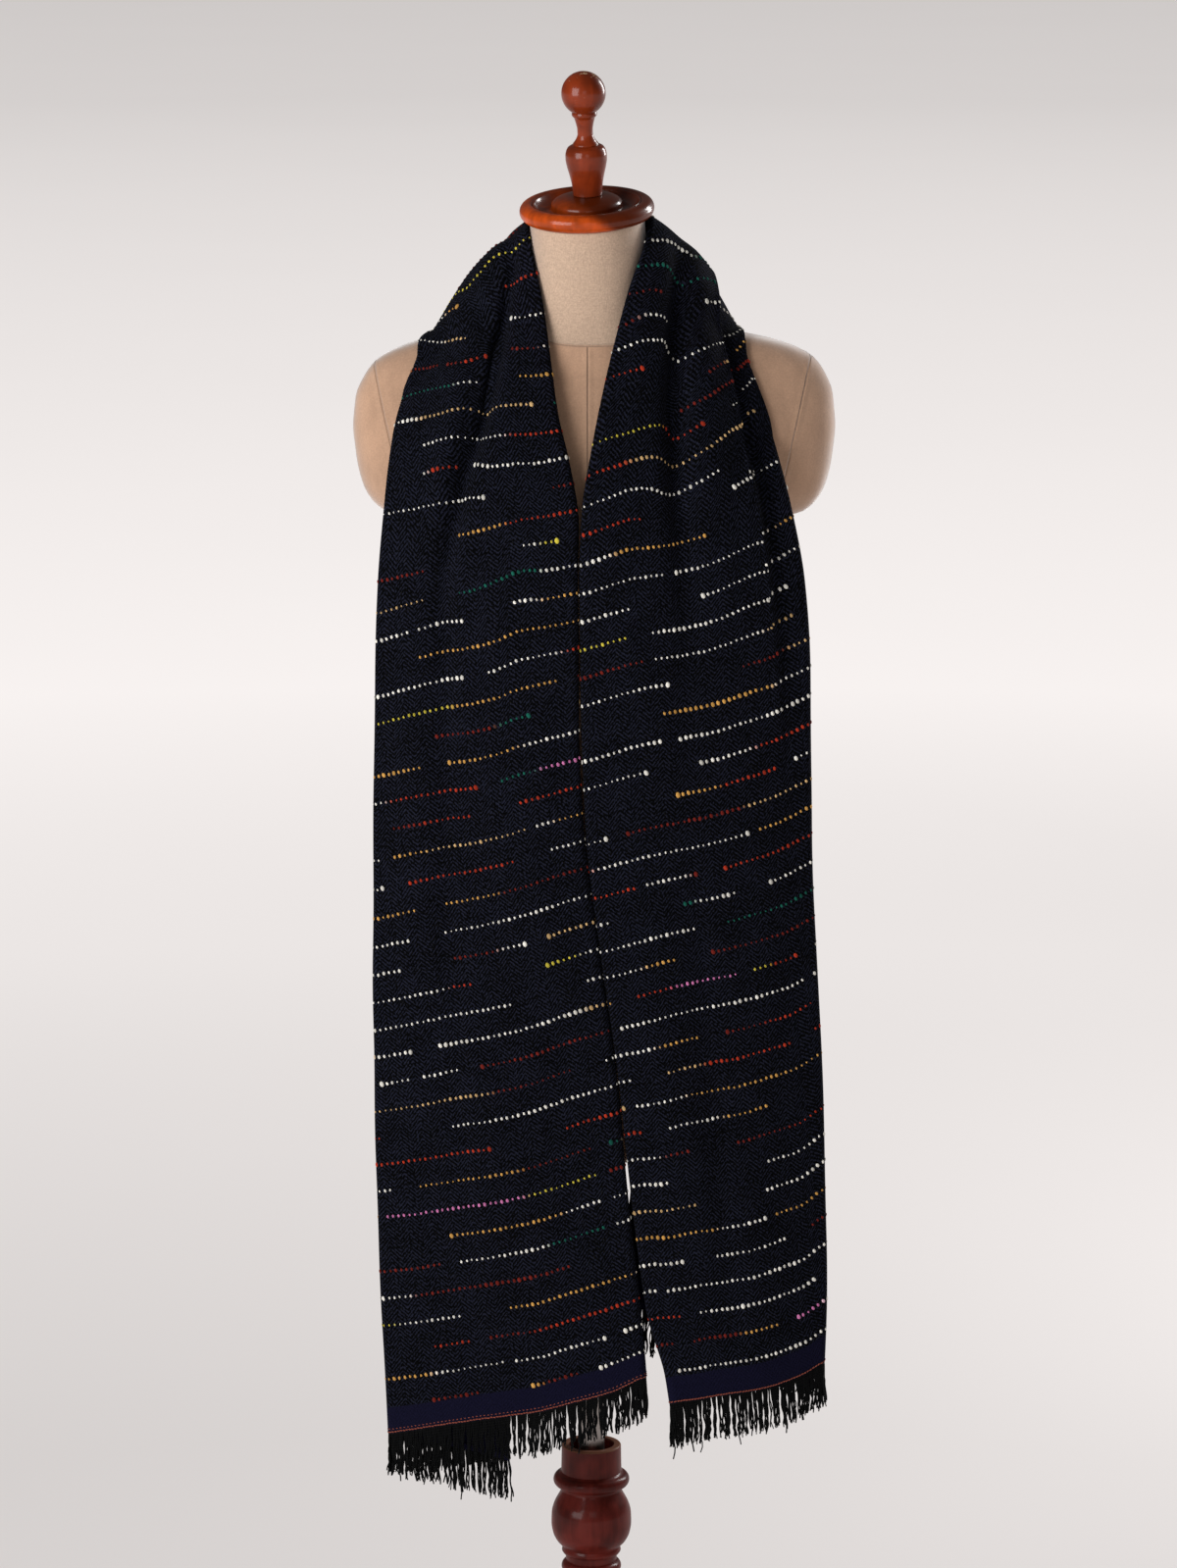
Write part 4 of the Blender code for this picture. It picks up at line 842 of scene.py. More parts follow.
# ---------------------------------------------------------------- dress form
def form_ring(height, sides):
    """One level ring of the dress form: the body and the shoulder caps, melted together."""
    heights = [row[0] for row in FORM_ROWS]
    sizes = dict(zip(FORM_COLUMNS[1:], smooth_columns(heights, [row[1:] for row in FORM_ROWS], height)))
    turn = np.arange(sides) / sides * math.tau
    angle = np.arctan2(0.55 * np.sin(turn), np.cos(turn))
    across = np.abs(np.cos(angle))
    along = np.abs(np.sin(angle))
    depth = np.where(np.sin(angle) < 0, sizes["front"], sizes["back"])
    power = FORM_SQUARENESS
    body = ((across / sizes["side"]) ** power + (along / depth) ** power) ** (-1 / power)
    power = CAP_SQUARENESS
    caps = ((across / sizes["cap"]) ** power + (along / sizes["cap_depth"]) ** power) ** (-1 / power)
    radius = (body**FORM_BLEND + caps**FORM_BLEND) ** (1 / FORM_BLEND)
    up_neck = float(soft_step((height - NECK_LEAN_FROM_Z) / (NECK_TOP_Z - NECK_LEAN_FROM_Z)))
    x = radius * np.cos(angle)
    x = x + CAPS_ASIDE * soft_step((np.abs(x) - 0.10) / 0.05) + up_neck * NECK_CENTRE[0]
    y = radius * np.sin(angle)
    height = height + RIGHT_CAP_RISE * np.maximum(x - 0.11, 0.0) * soft_step((height - 1.36) / 0.05)
    tilt = math.tan(NECK_NOD) * (y - NECK_CENTRE[1]) + math.tan(NECK_ROLL) * (x - NECK_CENTRE[0])
    return np.stack([x, y, height + up_neck * tilt], axis=1)


def form_surface(sides, step):
    """Points and faces of the whole form, with the socket for the pole in its underside."""
    heights = []
    for low, high in zip(FORM_ROWS, FORM_ROWS[1:]):
        heights += list(np.linspace(low[0], high[0], max(2, math.ceil((high[0] - low[0]) / step)) + 1)[:-1])
    heights.append(FORM_ROWS[-1][0])
    turn = np.arange(sides) / sides * math.tau

    def level(radius, height):
        return np.stack([radius * np.cos(turn), radius * np.sin(turn), np.full(sides, height)], axis=1)

    bottom = form_ring(FORM_BOTTOM_Z, sides)
    hub = bottom * (0.5, 0.5, 1.0)
    rim = bottom * (0.975, 0.965, 1.0)
    edge = bottom * (0.993, 0.990, 1.0) + (0.0, 0.0, 0.0012)
    rings = [level(SOCKET_RADIUS, SOCKET_TOP_Z), level(SOCKET_RADIUS, FORM_BOTTOM_Z), hub, rim, edge]
    rings += [form_ring(height, sides) for height in heights[1:]]
    points = np.concatenate(rings)
    faces = [list(face) for face in grid_faces(len(rings), sides, closed=True)]
    faces.append(list(range(sides))[::-1])
    last = (len(rings) - 1) * sides
    faces.append([last + side for side in range(sides)])
    return points, faces


# ---------------------------------------------------------------- cloth
def cloth_places():
    """How far along the scarf each section of the table lies, from the first one."""
    rows = np.array(CLOTH_ROWS)
    middle = (rows[:, 0:3] + rows[:, 3:6]) / 2
    steps = np.linalg.norm(np.diff(middle, axis=0), axis=1)
    return np.concatenate([[0.0], np.cumsum(steps)])


CLOTH_PLACES = cloth_places()
NECK_FROM = float(CLOTH_PLACES[NECK_FROM_ROW])
NECK_TO = float(CLOTH_PLACES[NECK_TO_ROW])
LEFT_HEM = LEFT_HEM_Z - CLOTH_ROWS[0][2]
RIGHT_HEM = float(CLOTH_PLACES[-1]) - (RIGHT_HEM_Z - CLOTH_ROWS[-1][2])


def sections_at(along):
    """Each column of the cloth's table, by name, at places along the scarf."""
    values = smooth_columns(CLOTH_PLACES, CLOTH_ROWS, along)
    return {name: values[..., index] for index, name in enumerate(CLOTH_COLUMNS)}


def section_frame(along):
    """Inner edge, width, and the directions across the cloth and off its face, at each place."""
    here = sections_at(along)
    inner = np.stack([here["in_x"], here["in_y"], here["in_z"]], axis=-1)
    outer = np.stack([here["out_x"], here["out_y"], here["out_z"]], axis=-1)
    reach = 0.02
    ends = []
    for other in (sections_at(along - reach), sections_at(along + reach)):
        ends.append(np.stack([other["in_x"] + other["out_x"], other["in_y"] + other["out_y"],
                              other["in_z"] + other["out_z"]], axis=-1))
    onward = ends[1] - ends[0]
    width = np.linalg.norm(outer - inner, axis=-1)
    across = (outer - inner) / width[..., None]
    face = np.cross(onward, across)
    face /= np.linalg.norm(face, axis=-1)[..., None]
    return here, inner, width, across, face


def front_height(share, width, here):
    """How far the front layer stands off the chord, at a share of the width."""
    height = here["bulge"] * (1 - (2 * share - 1) ** 2)
    from_valley = (share - here["valley"]) * width / VALLEY_WIDTH
    height = height - here["valley_depth"] * np.exp(-from_valley**2)
    before_pleat = (share - here["pleat"]) * width / PLEAT_WIDTH + 0.9
    height = height + here["pleat_depth"] * 0.28 * np.exp(-(before_pleat**2))
    past_pleat = soft_step((share - here["pleat"]) * width / PLEAT_WIDTH + 0.5)
    back_up = 1 - soft_step((share - here["pleat"]) / (1.02 - here["pleat"]))
    return height - here["pleat_depth"] * past_pleat * back_up


def tuck_length(here):
    """The turned-in edge, shorter where it is rolled tighter beside the neck."""
    return TUCK * here["in_roll"] / IN_ROLL_OF_FULL_TUCK


def section_lengths(along):
    """Lengths of the inner roll, front, outer roll and rear layer of a section."""
    here, _, width, _, _ = section_frame(along)
    shares = np.linspace(0, 1, 61)
    heights = front_height(shares[:, None], width[None], {key: value[None] for key, value in here.items()})
    runs = np.sqrt((np.diff(shares)[:, None] * width[None]) ** 2 + np.diff(heights, axis=0) ** 2)
    inner = tuck_length(here) + math.pi * here["in_roll"]
    outer = math.pi * here["out_roll"]
    front = runs.sum(axis=0)
    rear = CLOTH_WIDTH - inner - outer - front
    return inner, front, outer, rear


def shear_at(along):
    """How far the woven rows lean, for each metre across: one lean on each side of the neck."""
    share = soft_step((along - NECK_FROM) / (NECK_TO - NECK_FROM))
    return SHEAR_LEFT + (SHEAR_RIGHT - SHEAR_LEFT) * share


def sag_at(rows, share):
    """How far each woven row has slid along the scarf, at shares of the front layer."""
    left = np.array(LEFT_SAG)
    right = np.array(RIGHT_SAG)
    on_left = smooth_columns(left[:, 0], left[:, 1:], rows)
    on_right = smooth_columns(right[:, 0], right[:, 1:], rows)
    here = sections_at(rows)
    total = np.zeros(share.shape)
    for index in range(len(rows)):
        past = soft_step((share[index] - here["pleat"][index]) * 0.17 / PLEAT_WIDTH + 0.5)
        total[index] = (
            smooth_columns(LEFT_SAG_COLUMNS[1:], on_left[index][:, None], share[index])[:, 0]
            + smooth_columns(RIGHT_SAG_COLUMNS[1:-1], on_right[index][:-1, None], share[index])[:, 0]
            + on_right[index][-1] * past
        )
    return total


def low_right_share(inner, here):
    """1 on the right panel's low stretch, where its rear layer passes behind the left panel."""
    on_right = soft_step(here["out_x"] / 0.05)
    return on_right * soft_step((REAR_DROP_BELOW_Z - inner[..., 2]) / 0.15)


def cloth_points(rows, parts):
    """Middle of the cloth's wall, for rows along the scarf and places 0 to 4 across each:
    0-1 inner roll, 1-2 front layer, 2-3 outer roll, 3-4 rear layer. Also the run across the
    cloth and how much of the front layer each point belongs to."""
    lengths = [length[:, None] for length in section_lengths(rows)]
    run = sum(length * np.clip(parts - step, 0, 1) for step, length in enumerate(lengths))
    in_front = np.broadcast_to(np.clip(parts - 1, 0, 1), run.shape)
    sag = sag_at(rows, in_front) * (1 - np.clip(parts - 3, 0, 1))
    along = rows[:, None] + shear_at(rows)[:, None] * (run - SHEAR_CENTRE) + sag
    here, inner, width, across, face = section_frame(along)
    in_roll = here["in_roll"]
    out_roll = here["out_roll"]
    flat = width - in_roll - out_roll

    tuck = tuck_length(here)
    tuck_share = tuck / (tuck + math.pi * in_roll)
    in_turn = math.pi * np.clip((parts - tuck_share) / (1 - tuck_share), 0, 1)
    tucked = tuck * np.clip(1 - parts / tuck_share, 0, 1)
    share = np.clip(parts - 1, 0, 1)
    place = (in_roll + share * flat) / width
    out_turn = math.pi * np.clip(parts - 2, 0, 1)
    free = soft_step((REAR_FREE_BELOW_Z - here["in_z"]) / 0.1)
    behind = np.minimum(lengths[3], (REAR_SHARE + free) * width) * np.clip(parts - 3, 0, 1)

    edge_lift = front_height(in_roll / width, width, here)
    fold_lift = front_height(1 - out_roll / width, width, here)
    drop = REAR_DROP * low_right_share(inner, here) * np.clip(parts - 3, 0, 1)
    offset = np.where(
        parts <= 1,
        in_roll + tucked - in_roll * np.sin(in_turn),
        np.where(parts <= 2, place * width, width - out_roll + out_roll * np.sin(out_turn) - behind),
    )
    under_front = front_height(np.clip(offset / width, 0, 1), width, here)
    rise = np.where(
        parts <= 1,
        edge_lift - in_roll * (1 + np.cos(in_turn)),
        np.where(
            parts <= 2,
            front_height(place, width, here),
            np.where(
                parts <= 3,
                fold_lift - out_roll * (1 - np.cos(out_turn)),
                np.minimum(under_front, fold_lift) - 2 * out_roll - drop,
            ),
        ),
    )
    past_pleat = (share - here["pleat"]) * width / PLEAT_WIDTH
    overhang = PLEAT_OVERHANG * (here["pleat_depth"] / 0.007) * np.exp(-((past_pleat - 0.5) ** 2))
    offset = offset - np.where((parts > 1) & (parts <= 2), overhang, 0.0)
    points = inner + offset[..., None] * across + rise[..., None] * face
    layer = np.where(parts <= 2, (1 - np.cos(in_turn)) / 2, (1 + np.cos(out_turn)) / 2)
    return points, run, layer


def cloth_parts():
    """Column places across the cloth."""
    parts = [np.linspace(step, step + 1, count + 1)[:-1] for step, count in enumerate(PART_COLUMNS)]
    return np.concatenate([*parts, [4.0]])


def drawn_to_folds(rows, parts):
    """Crowds the front layer's columns towards the valley and the pleat of each row."""
    here = sections_at(rows)
    share = np.clip(parts - 1, 0, 1)[None]
    valley = here["valley"][:, None]
    pleat = here["pleat"][:, None]
    marks = np.linspace(0, 1, 201)[None]
    crowd = 1.0 + 1.6 * np.exp(-(((marks - valley) / 0.07) ** 2))
    crowd = crowd + 2.6 * np.exp(-(((marks - pleat) / 0.035) ** 2))
    total = np.cumsum(crowd, axis=1)
    total = (total - total[:, :1]) / (total[:, -1:] - total[:, :1])
    slid = np.stack([np.interp(share[0], total[index], marks[0]) for index in range(len(rows))])
    inside = (parts > 1) & (parts < 2)
    return np.where(inside[None], 1 + slid, parts[None])


def clear_of_form(points, layers, form_tree):
    """Moves points out of the dress form, the front layer by one layer more."""
    flat = points.reshape(-1, 3)
    moved = flat.copy()
    for index, (point, layer) in enumerate(zip(flat.tolist(), layers.ravel().tolist())):
        wanted = CLEARANCE + LAYER_STEP * layer
        near, normal, _, distance = form_tree.find_nearest(point, 0.06)
        if near is None:
            continue
        offset = Vector(point) - near
        inside = offset.dot(normal) < -0.9 * distance
        if distance >= wanted and not inside:
            continue
        direction = normal if inside or distance < 1e-6 else offset / distance
        moved[index] = near + direction * wanted
    return moved.reshape(points.shape)


def grid_normals(points):
    """The direction off the face at each point of a grid."""
    normals = np.cross(np.gradient(points, axis=0), np.gradient(points, axis=1))
    return normals / np.linalg.norm(normals, axis=-1)[..., None]


def crease_lift(points, creases):
    """How far the placed creases lift each point, by its distance from each path in the front view."""
    flat = points.reshape(-1, 3)[:, [0, 2]]
    lift = np.zeros(len(flat))
    t = np.linspace(0, 1, 33)[:, None]
    for row in creases:
        crease = dict(zip(CREASE_COLUMNS, row))
        width = crease["width"]
        start, middle, end = (np.array([crease[f"x{index}"], crease[f"z{index}"]]) for index in range(3))
        path = (1 - t) ** 2 * start + 2 * t * (1 - t) * middle + t**2 * end
        near = np.all((flat > path.min(0) - 4 * width) & (flat < path.max(0) + 4 * width), axis=1)
        close = flat[near]
        gap = np.linalg.norm(close[:, None] - path[None], axis=-1)
        best = gap.argmin(axis=1)
        fade = np.sin(math.pi * np.clip(t[best, 0] * 0.94 + 0.03, 0, 1)) ** 0.8
        lift[near] += crease["depth"] * fade * np.exp(-((gap.min(axis=1) / width) ** 2))
    return lift.reshape(points.shape[:-1])


def ripple(run, row, waves, seed):
    """A gentle unevenness made of slanting waves; each wave is (length, height)."""
    source = random.Random(seed)
    total = np.zeros(np.broadcast(run, row).shape)
    for length, height in waves:
        for _ in range(3):
            heading = source.uniform(-0.9, 0.9)
            phase = source.uniform(0, math.tau)
            number = math.tau / (length * source.uniform(0.8, 1.25))
            along = run * math.cos(heading) + row * math.sin(heading) * 0.5
            total = total + height / 3 * np.sin(number * along + phase)
    return total


class ClothSurface:
    """The scarf's outer face as a fine grid, and places on it by row and run."""

    def __init__(self, form_tree):
        count = int(round((RIGHT_HEM - LEFT_HEM) / ROW_STEP)) + 1
        self.rows = np.linspace(LEFT_HEM, RIGHT_HEM, count)
        parts = drawn_to_folds(self.rows, cloth_parts())
        points, self.run, layers = cloth_points(self.rows, parts)
        row = np.broadcast_to(self.rows[:, None], self.run.shape)
        self.place = np.stack([self.run, row, np.zeros_like(self.run)], axis=-1)
        normals = grid_normals(points)
        in_front = soft_step((parts - 0.6) / 0.4) * soft_step((2.6 - parts) / 0.4)
        facing_front = in_front * soft_step((0.02 - points[..., 1]) / 0.03)
        facing_back = soft_step((points[..., 1] + 0.005) / 0.03)
        lift = crease_lift(points, FRONT_CREASES) * facing_front
        lift = lift + crease_lift(points, BACK_CREASES) * facing_back * in_front
        lift = lift + ripple(self.run, row, ((0.11, 0.0011), (0.05, 0.0005)), 4)
        points = points + normals * lift[..., None]
        points = clear_of_form(points, layers, form_tree)
        self.normals = grid_normals(points)
        self.points = points + self.normals * WALL / 2

    def find(self, row, run):
        """Point, directions across and along, and normal at a row and a run across the cloth."""
        place = (row - self.rows[0]) / (self.rows[1] - self.rows[0])
        low = int(min(max(place, 0), len(self.rows) - 2))
        share = place - low
        columns = np.arange(self.run.shape[1])
        found = []
        for index in (low, low + 1):
            column = float(np.interp(run, self.run[index], columns))
            left = min(int(column), len(columns) - 2)
            part = column - left
            pair = self.points[index, left : left + 2]
            found.append(
                (pair[0] * (1 - part) + pair[1] * part, pair[1] - pair[0],
                 self.normals[index, left] * (1 - part) + self.normals[index, left + 1] * part)
            )
        point = found[0][0] * (1 - share) + found[1][0] * share
        across = found[0][1] / np.linalg.norm(found[0][1])
        onward = found[1][0] - found[0][0]
        normal = found[0][2] * (1 - share) + found[1][2] * share
        normal = normal / np.linalg.norm(normal)
        return point, across, onward / np.linalg.norm(onward), normal

    def with_returns(self):
        """The grid with its selvedge and both hems turned back by the cloth's thickness."""
        points, normals, place = self.points, self.normals, self.place

        def turned_back(edge, before, normal, spot):
            inward = before - edge
            inward = inward / np.linalg.norm(inward, axis=-1)[..., None]
            round_edge = edge - inward * EDGE_ROUNDING - normal * WALL / 2
            under = edge - normal * WALL
            back = edge + inward * EDGE_RETURN - normal * WALL
            return np.stack([round_edge, under, back]), np.stack([spot] * 3), np.stack([normal] * 3)

        extra, spots, outward = turned_back(points[:, -1], points[:, -3], normals[:, -1], place[:, -1])
        points = np.concatenate([points, np.swapaxes(extra, 0, 1)], axis=1)
        place = np.concatenate([place, np.swapaxes(spots, 0, 1)], axis=1)
        normals = np.concatenate([normals, np.swapaxes(outward, 0, 1)], axis=1)
        first, first_spots, _ = turned_back(points[0], points[2], normals[0], place[0])
        last, last_spots, _ = turned_back(points[-1], points[-3], normals[-1], place[-1])
        points = np.concatenate([first[::-1], points, last])
        place = np.concatenate([first_spots[::-1], place, last_spots])
        return points, place


# ---------------------------------------------------------------- small parts of the cloth
def dash_plan(settings, seed):
    """Rows of dashes, laid out by chance: (row, run, size, colour) of each dot."""
    source = random.Random(seed)
    weight = SLUB_COLUMNS.index("weight")
    weights = [row[weight] for row in SLUB_COLOURS]
    spacing = settings.slub_spacing
    count = int((RIGHT_HEM - LEFT_HEM - 2 * settings.band_height) / settings.slub_pitch)
    dots = []
    for index in range(count + 1):
        row = LEFT_HEM + settings.band_height + 0.0012 + index * settings.slub_pitch
        run = -source.uniform(0.0, 0.10)
        while run < CLOTH_WIDTH:
            length = source.choice(DASH_LENGTHS) * source.uniform(0.8, 1.2)
            swell = source.uniform(0.80, 1.10)
            first = source.choices(SLUB_COLOURS, weights)[0][:weight]
            second = source.choices(SLUB_COLOURS, weights)[0][:weight] if source.random() < 0.75 else first
            change = source.uniform(0.2, 0.85)
            knot = source.choice((0, -1, None, None))
            steps = max(3, int(length / spacing))
            for step in range(steps):
                share = step / (steps - 1)
                at = run + (step + source.uniform(-0.06, 0.06)) * spacing
                swelling = swell * (1.0 + 0.18 * math.sin(share * 9.0 + run * 70.0))
                size = swelling * source.uniform(0.66, 1.14)
                if knot is not None and step == knot % steps:
                    size = source.uniform(1.35, 1.6)
                bias = min(1.0, max(0.0, (share - change) * steps * 0.5 + 0.5))
                tone = source.uniform(0.60, 1.08)
                colour = [(a * (1 - bias) + b * bias) * tone for a, b in zip(first, second)]
                if 0.003 < at < CLOTH_WIDTH - 0.003:
                    dots.append((row + source.uniform(-0.0003, 0.0003), at, size, colour))
            run += length + source.choice(DASH_GAPS)
    return dots


def bead_shape(around):
    """Points and faces of one low dome: rings of (radius share, height share) and a top."""
    rings = ((1.0, -0.35), (0.93, 0.35), (0.58, 0.86))
    turn = np.arange(around) / around * math.tau
    points = [(r * math.cos(a), r * math.sin(a), h) for r, h in rings for a in turn]
    faces = grid_faces(len(rings), around, closed=True).tolist()
    top = len(points)
    last = top - around
    faces += [(last + side, last + (side + 1) % around, top) for side in range(around)]
    return np.array([*points, (0.0, 0.0, 1.0)]), faces


def place_beads(surface, spots, around=8):
    """Joins many beads: each spot is (row, run, half sizes across, along and up, turn)."""
    shape, shape_faces = bead_shape(around)
    points = []
    faces = []
    for row, run, across_size, along_size, up_size, turn in spots:
        point, across, onward, normal = surface.find(row, run)
        side = across * math.cos(turn) + onward * math.sin(turn)
        side = side - normal * side.dot(normal)
        side = side / np.linalg.norm(side)
        other = np.cross(normal, side)
        start = len(points) * len(shape)
        points.append(
            point + shape[:, :1] * across_size * side + shape[:, 1:2] * along_size * other
            + shape[:, 2:3] * up_size * normal
        )
        faces += [[start + corner for corner in face] for face in shape_faces]
    return np.concatenate(points), faces


def thread_tube(path, radii, sides, twist):
    """Points, faces and thread places of a thin tapering tube along a path."""
    path = np.asarray(path)
    heading = np.gradient(path, axis=0)
    heading /= np.linalg.norm(heading, axis=1)[:, None]
    side = np.cross(heading, (0.0, 1.0, 0.0))
    side /= np.linalg.norm(side, axis=1)[:, None]
    other = np.cross(heading, side)
    turn = np.arange(sides) / sides * math.tau
    points = path[:, None] + radii[:, None, None] * (
        np.cos(turn)[None, :, None] * side[:, None] + np.sin(turn)[None, :, None] * other[:, None]
    )
    runs = np.concatenate([[0.0], np.cumsum(np.linalg.norm(np.diff(path, axis=0), axis=1))])
    place = np.stack(
        [
            np.broadcast_to(np.arange(sides) / sides, points.shape[:2]),
            np.broadcast_to(runs[:, None], points.shape[:2]), np.full(points.shape[:2], twist),
        ],
        axis=-1,
    )
    return points.reshape(-1, 3), place.reshape(-1, 3)


def fringe_threads(surface, at_end, settings, seed):
    """Loose threads below a hem, in uneven clumps, some of them crossing."""
    source = random.Random(seed)
    row = surface.rows[-1] if at_end else surface.rows[0]
    count = settings.fringe_threads
    pitch = CLOTH_WIDTH / count
    steps, sides = THREAD_STEPS, THREAD_SIDES
    tube = grid_faces(steps, sides, closed=True)
    points, places, faces = [], [], []
    left_in_clump = 0
    for index in range(count):
        if left_in_clump == 0:
            left_in_clump = source.randint(2, 5)
            clump = index + left_in_clump / 2 + source.uniform(-1.2, 1.2)
            clump_lean = source.uniform(-1, 1) * 0.0016
            clump_depth = source.uniform(-0.4, 1.0)
            clump_length = source.uniform(0.94, 1.08)
            gathered = source.uniform(0.35, 0.85)
        left_in_clump -= 1
        run = (index + 0.5 + source.uniform(-0.3, 0.3)) * pitch
        point, across, onward, normal = surface.find(row, run)
        down = onward if at_end else -onward
        length = settings.fringe_length * clump_length * source.uniform(0.90, 1.06)
        if source.random() < 0.012:
            length *= 1.2
        wave = source.uniform(0.0005, 0.0014)
        phase = source.uniform(0, math.tau)
        turns = source.uniform(0.9, 2.6)
        lean = (clump - index) * pitch * gathered + clump_lean + source.uniform(-1, 1) * 0.0006
        depth = clump_depth * 0.0012 + source.uniform(-0.5, 1) * 0.0010
        path = []
        here = point - down * THREAD_START - normal * WALL * 0.5
        for step in range(steps):
            share = step / (steps - 1)
            sway = lean * share**0.75 + wave * share**0.7 * math.sin(turns * math.tau * share + phase)
            out = depth * share**1.2 + wave * 0.6 * share * math.cos(turns * math.tau * share + phase)
            path.append(here + across * sway + normal * out)
            heading = down * (1 - share) + np.array([0.0, 0.0, -1.0]) * (0.4 + share)
            here = here + heading / np.linalg.norm(heading) * (length + THREAD_START) / (steps - 1)
        thick = THREAD_RADIUS * source.uniform(0.8, 1.2)
        radii = np.interp(np.linspace(0, 1, steps), (0, 0.7, 1), (thick, thick * 0.95, thick * 0.80))
        tube_points, place = thread_tube(path, radii, sides, source.random())
        start = len(points) * steps * sides
        points.append(tube_points)
        places.append(place)
        faces += (tube + start).tolist()
        faces.append([start + (steps - 1) * sides + side for side in range(sides)])
    return np.concatenate(points), faces, np.concatenate(places)


def hem_stitches(surface, seed):
    """Small slanting stitches along both hems, and a second, finer row on the left one."""
    source = random.Random(seed)
    spots = []
    for row, slant in ((LEFT_HEM + 0.0011, 0.16), (RIGHT_HEM - 0.0011, -0.16)):
        for index in range(int(CLOTH_WIDTH / STITCH_STEP) - 1):
            run = (index + 0.75) * STITCH_STEP
            spots.append((row + source.uniform(-1, 1) * 0.0002, run, *STITCH_SIZE, slant))
    for index in range(int(CLOTH_WIDTH / FINE_STITCH_STEP) - 1):
        run = (index + 0.75) * FINE_STITCH_STEP
        spots.append((LEFT_HEM + 0.0036, run, *FINE_STITCH_SIZE, 0.05))
    return place_beads(surface, spots, 6)


# ---------------------------------------------------------------- turned profiles
def cap_profile():
    """The cap on the neck: half-round rim with a thin inner lip, deep dish and stepped dome."""
    radius, rim = 0.0541, 0.0072
    top = [(0.0, CAP_HEIGHT), (0.0080, CAP_HEIGHT), (0.0150, 0.0190), (0.0215, 0.0177), (0.0262, 0.0154)]
    step = [(0.0283, 0.0132), (0.0288, 0.0088), (0.0310, 0.0077), (0.0345, 0.0076), (0.0385, 0.0092)]
    lip = [(0.0412, 0.0118), (0.0424, 0.0136), (0.0432, 0.0138), (0.0438, 0.0131)]
    edge = arc((radius - rim, rim), rim, 108, -84, 24)
    return eased(top, 3) + eased(step, 3) + eased(lip, 3) + edge + [(0.0, 0.0)]


def finial_profile():
    """Ball, flush bead, slim neck, thin groove and vase, from the top down to the foot."""
    ball = 0.0177
    profile = [(0.0, BALL_CENTRE_HEIGHT + ball)] + arc((0.0, BALL_CENTRE_HEIGHT), ball, 86, -57, 30)
    profile += eased([(0.0100, 0.0662), (0.0101, 0.0650), (0.0096, 0.0638), (0.0086, 0.0629)], 4)
    profile += eased(
        [(0.0080, 0.0612), (0.0070, 0.0575), (0.0062, 0.0525), (0.0062, 0.0490), (0.0071, 0.0460),
         (0.0087, 0.0434), (0.0101, 0.0416)], 6,
    )
    profile += eased([(0.0103, 0.0409), (0.0098, 0.0404), (0.0104, 0.0400)], 3)
    profile += eased(
        [(0.0122, 0.0397), (0.0143, 0.0384), (0.0158, 0.0358), (0.0166, 0.0318), (0.0166, 0.0290),
         (0.0159, 0.0240), (0.0147, 0.0190), (0.0134, 0.0135), (0.0123, 0.0075), (0.0117, 0.0)], 6,
    )
    return profile + [(0.0, 0.0)]


def post_profile():
    """Cup, collar, bulb, steps and a plain tapering column, bored from the top for the pole."""
    top = POST_TOP_Z
    foot = BASE_HEIGHT + GAP

    def below(*points):
        """Points of the profile given as (radius, depth below the top)."""
        return [(radius, top - depth) for radius, depth in points]

    bore = [(0.0, BORE_BOTTOM_Z), (SOCKET_RADIUS, BORE_BOTTOM_Z), (SOCKET_RADIUS, top - CUP_BORE_DEPTH)]
    cup = below((CUP_BORE_RADIUS, CUP_BORE_DEPTH), (CUP_BORE_RADIUS, 0.0005))
    cup += arc((CUP_BORE_RADIUS + 0.0005, top - 0.0005), 0.0005, 180, 90, 3)
    cup += arc((0.0232, top - 0.0018), 0.0018, 90, 0, 6) + below((0.0251, 0.0100), (0.0254, 0.0236))
    collar = arc((0.0262, top - 0.0310), 0.0058, 82, -80, 14)
    waist = eased(below((0.0262, 0.0368), (0.0250, 0.0378), (0.0249, 0.0392), (0.0256, 0.0412)), 4)
    bulb = below(
        (0.0277, 0.0450), (0.0313, 0.0520), (0.0334, 0.0600), (0.0337, 0.0690), (0.0325, 0.0770),
        (0.0293, 0.0840), (0.0252, 0.0885),
    )
    flange = eased(below((0.0240, 0.0900), (0.0249, 0.0932), (0.0236, 0.0955)), 4)
    flange += below((0.0216, 0.0962), (0.0215, 0.1012))
    ring = arc((0.0196, top - 0.1075), 0.0056, 74, -74, 12)
    column = below(
        (0.0202, 0.1140), (0.0216, 0.1350), (0.0250, 0.1900), (0.0262, 0.2500), (0.0246, 0.3200),
        (0.0215, 0.4000),
    )
    column = eased(column + [(0.0214, foot + 0.0235)], 8)
    foot_ring = arc((0.0240, foot + 0.0130), 0.0090, 80, -70, 14) + [(0.0300, foot), (0.0, foot)]
    return bore + cup + collar + waist + eased(bulb, 5) + flange + ring + column + foot_ring


def base_profile():
    """A broad flat disc with a rounded edge and a low step round the post."""
    edge = 0.009
    top = eased([(0.060, BASE_HEIGHT), (0.068, BASE_HEIGHT - 0.001), (0.075, BASE_HEIGHT - 0.005)], 4)
    slope = [(BASE_RADIUS - 0.045, BASE_HEIGHT - 0.009)]
    side = arc((BASE_RADIUS - edge, BASE_HEIGHT - 0.0135 - edge), edge, 88, 0, 14)
    return [(0.0, BASE_HEIGHT), *top, *slope, *side, (BASE_RADIUS - 0.002, 0.0), (0.0, 0.0)]


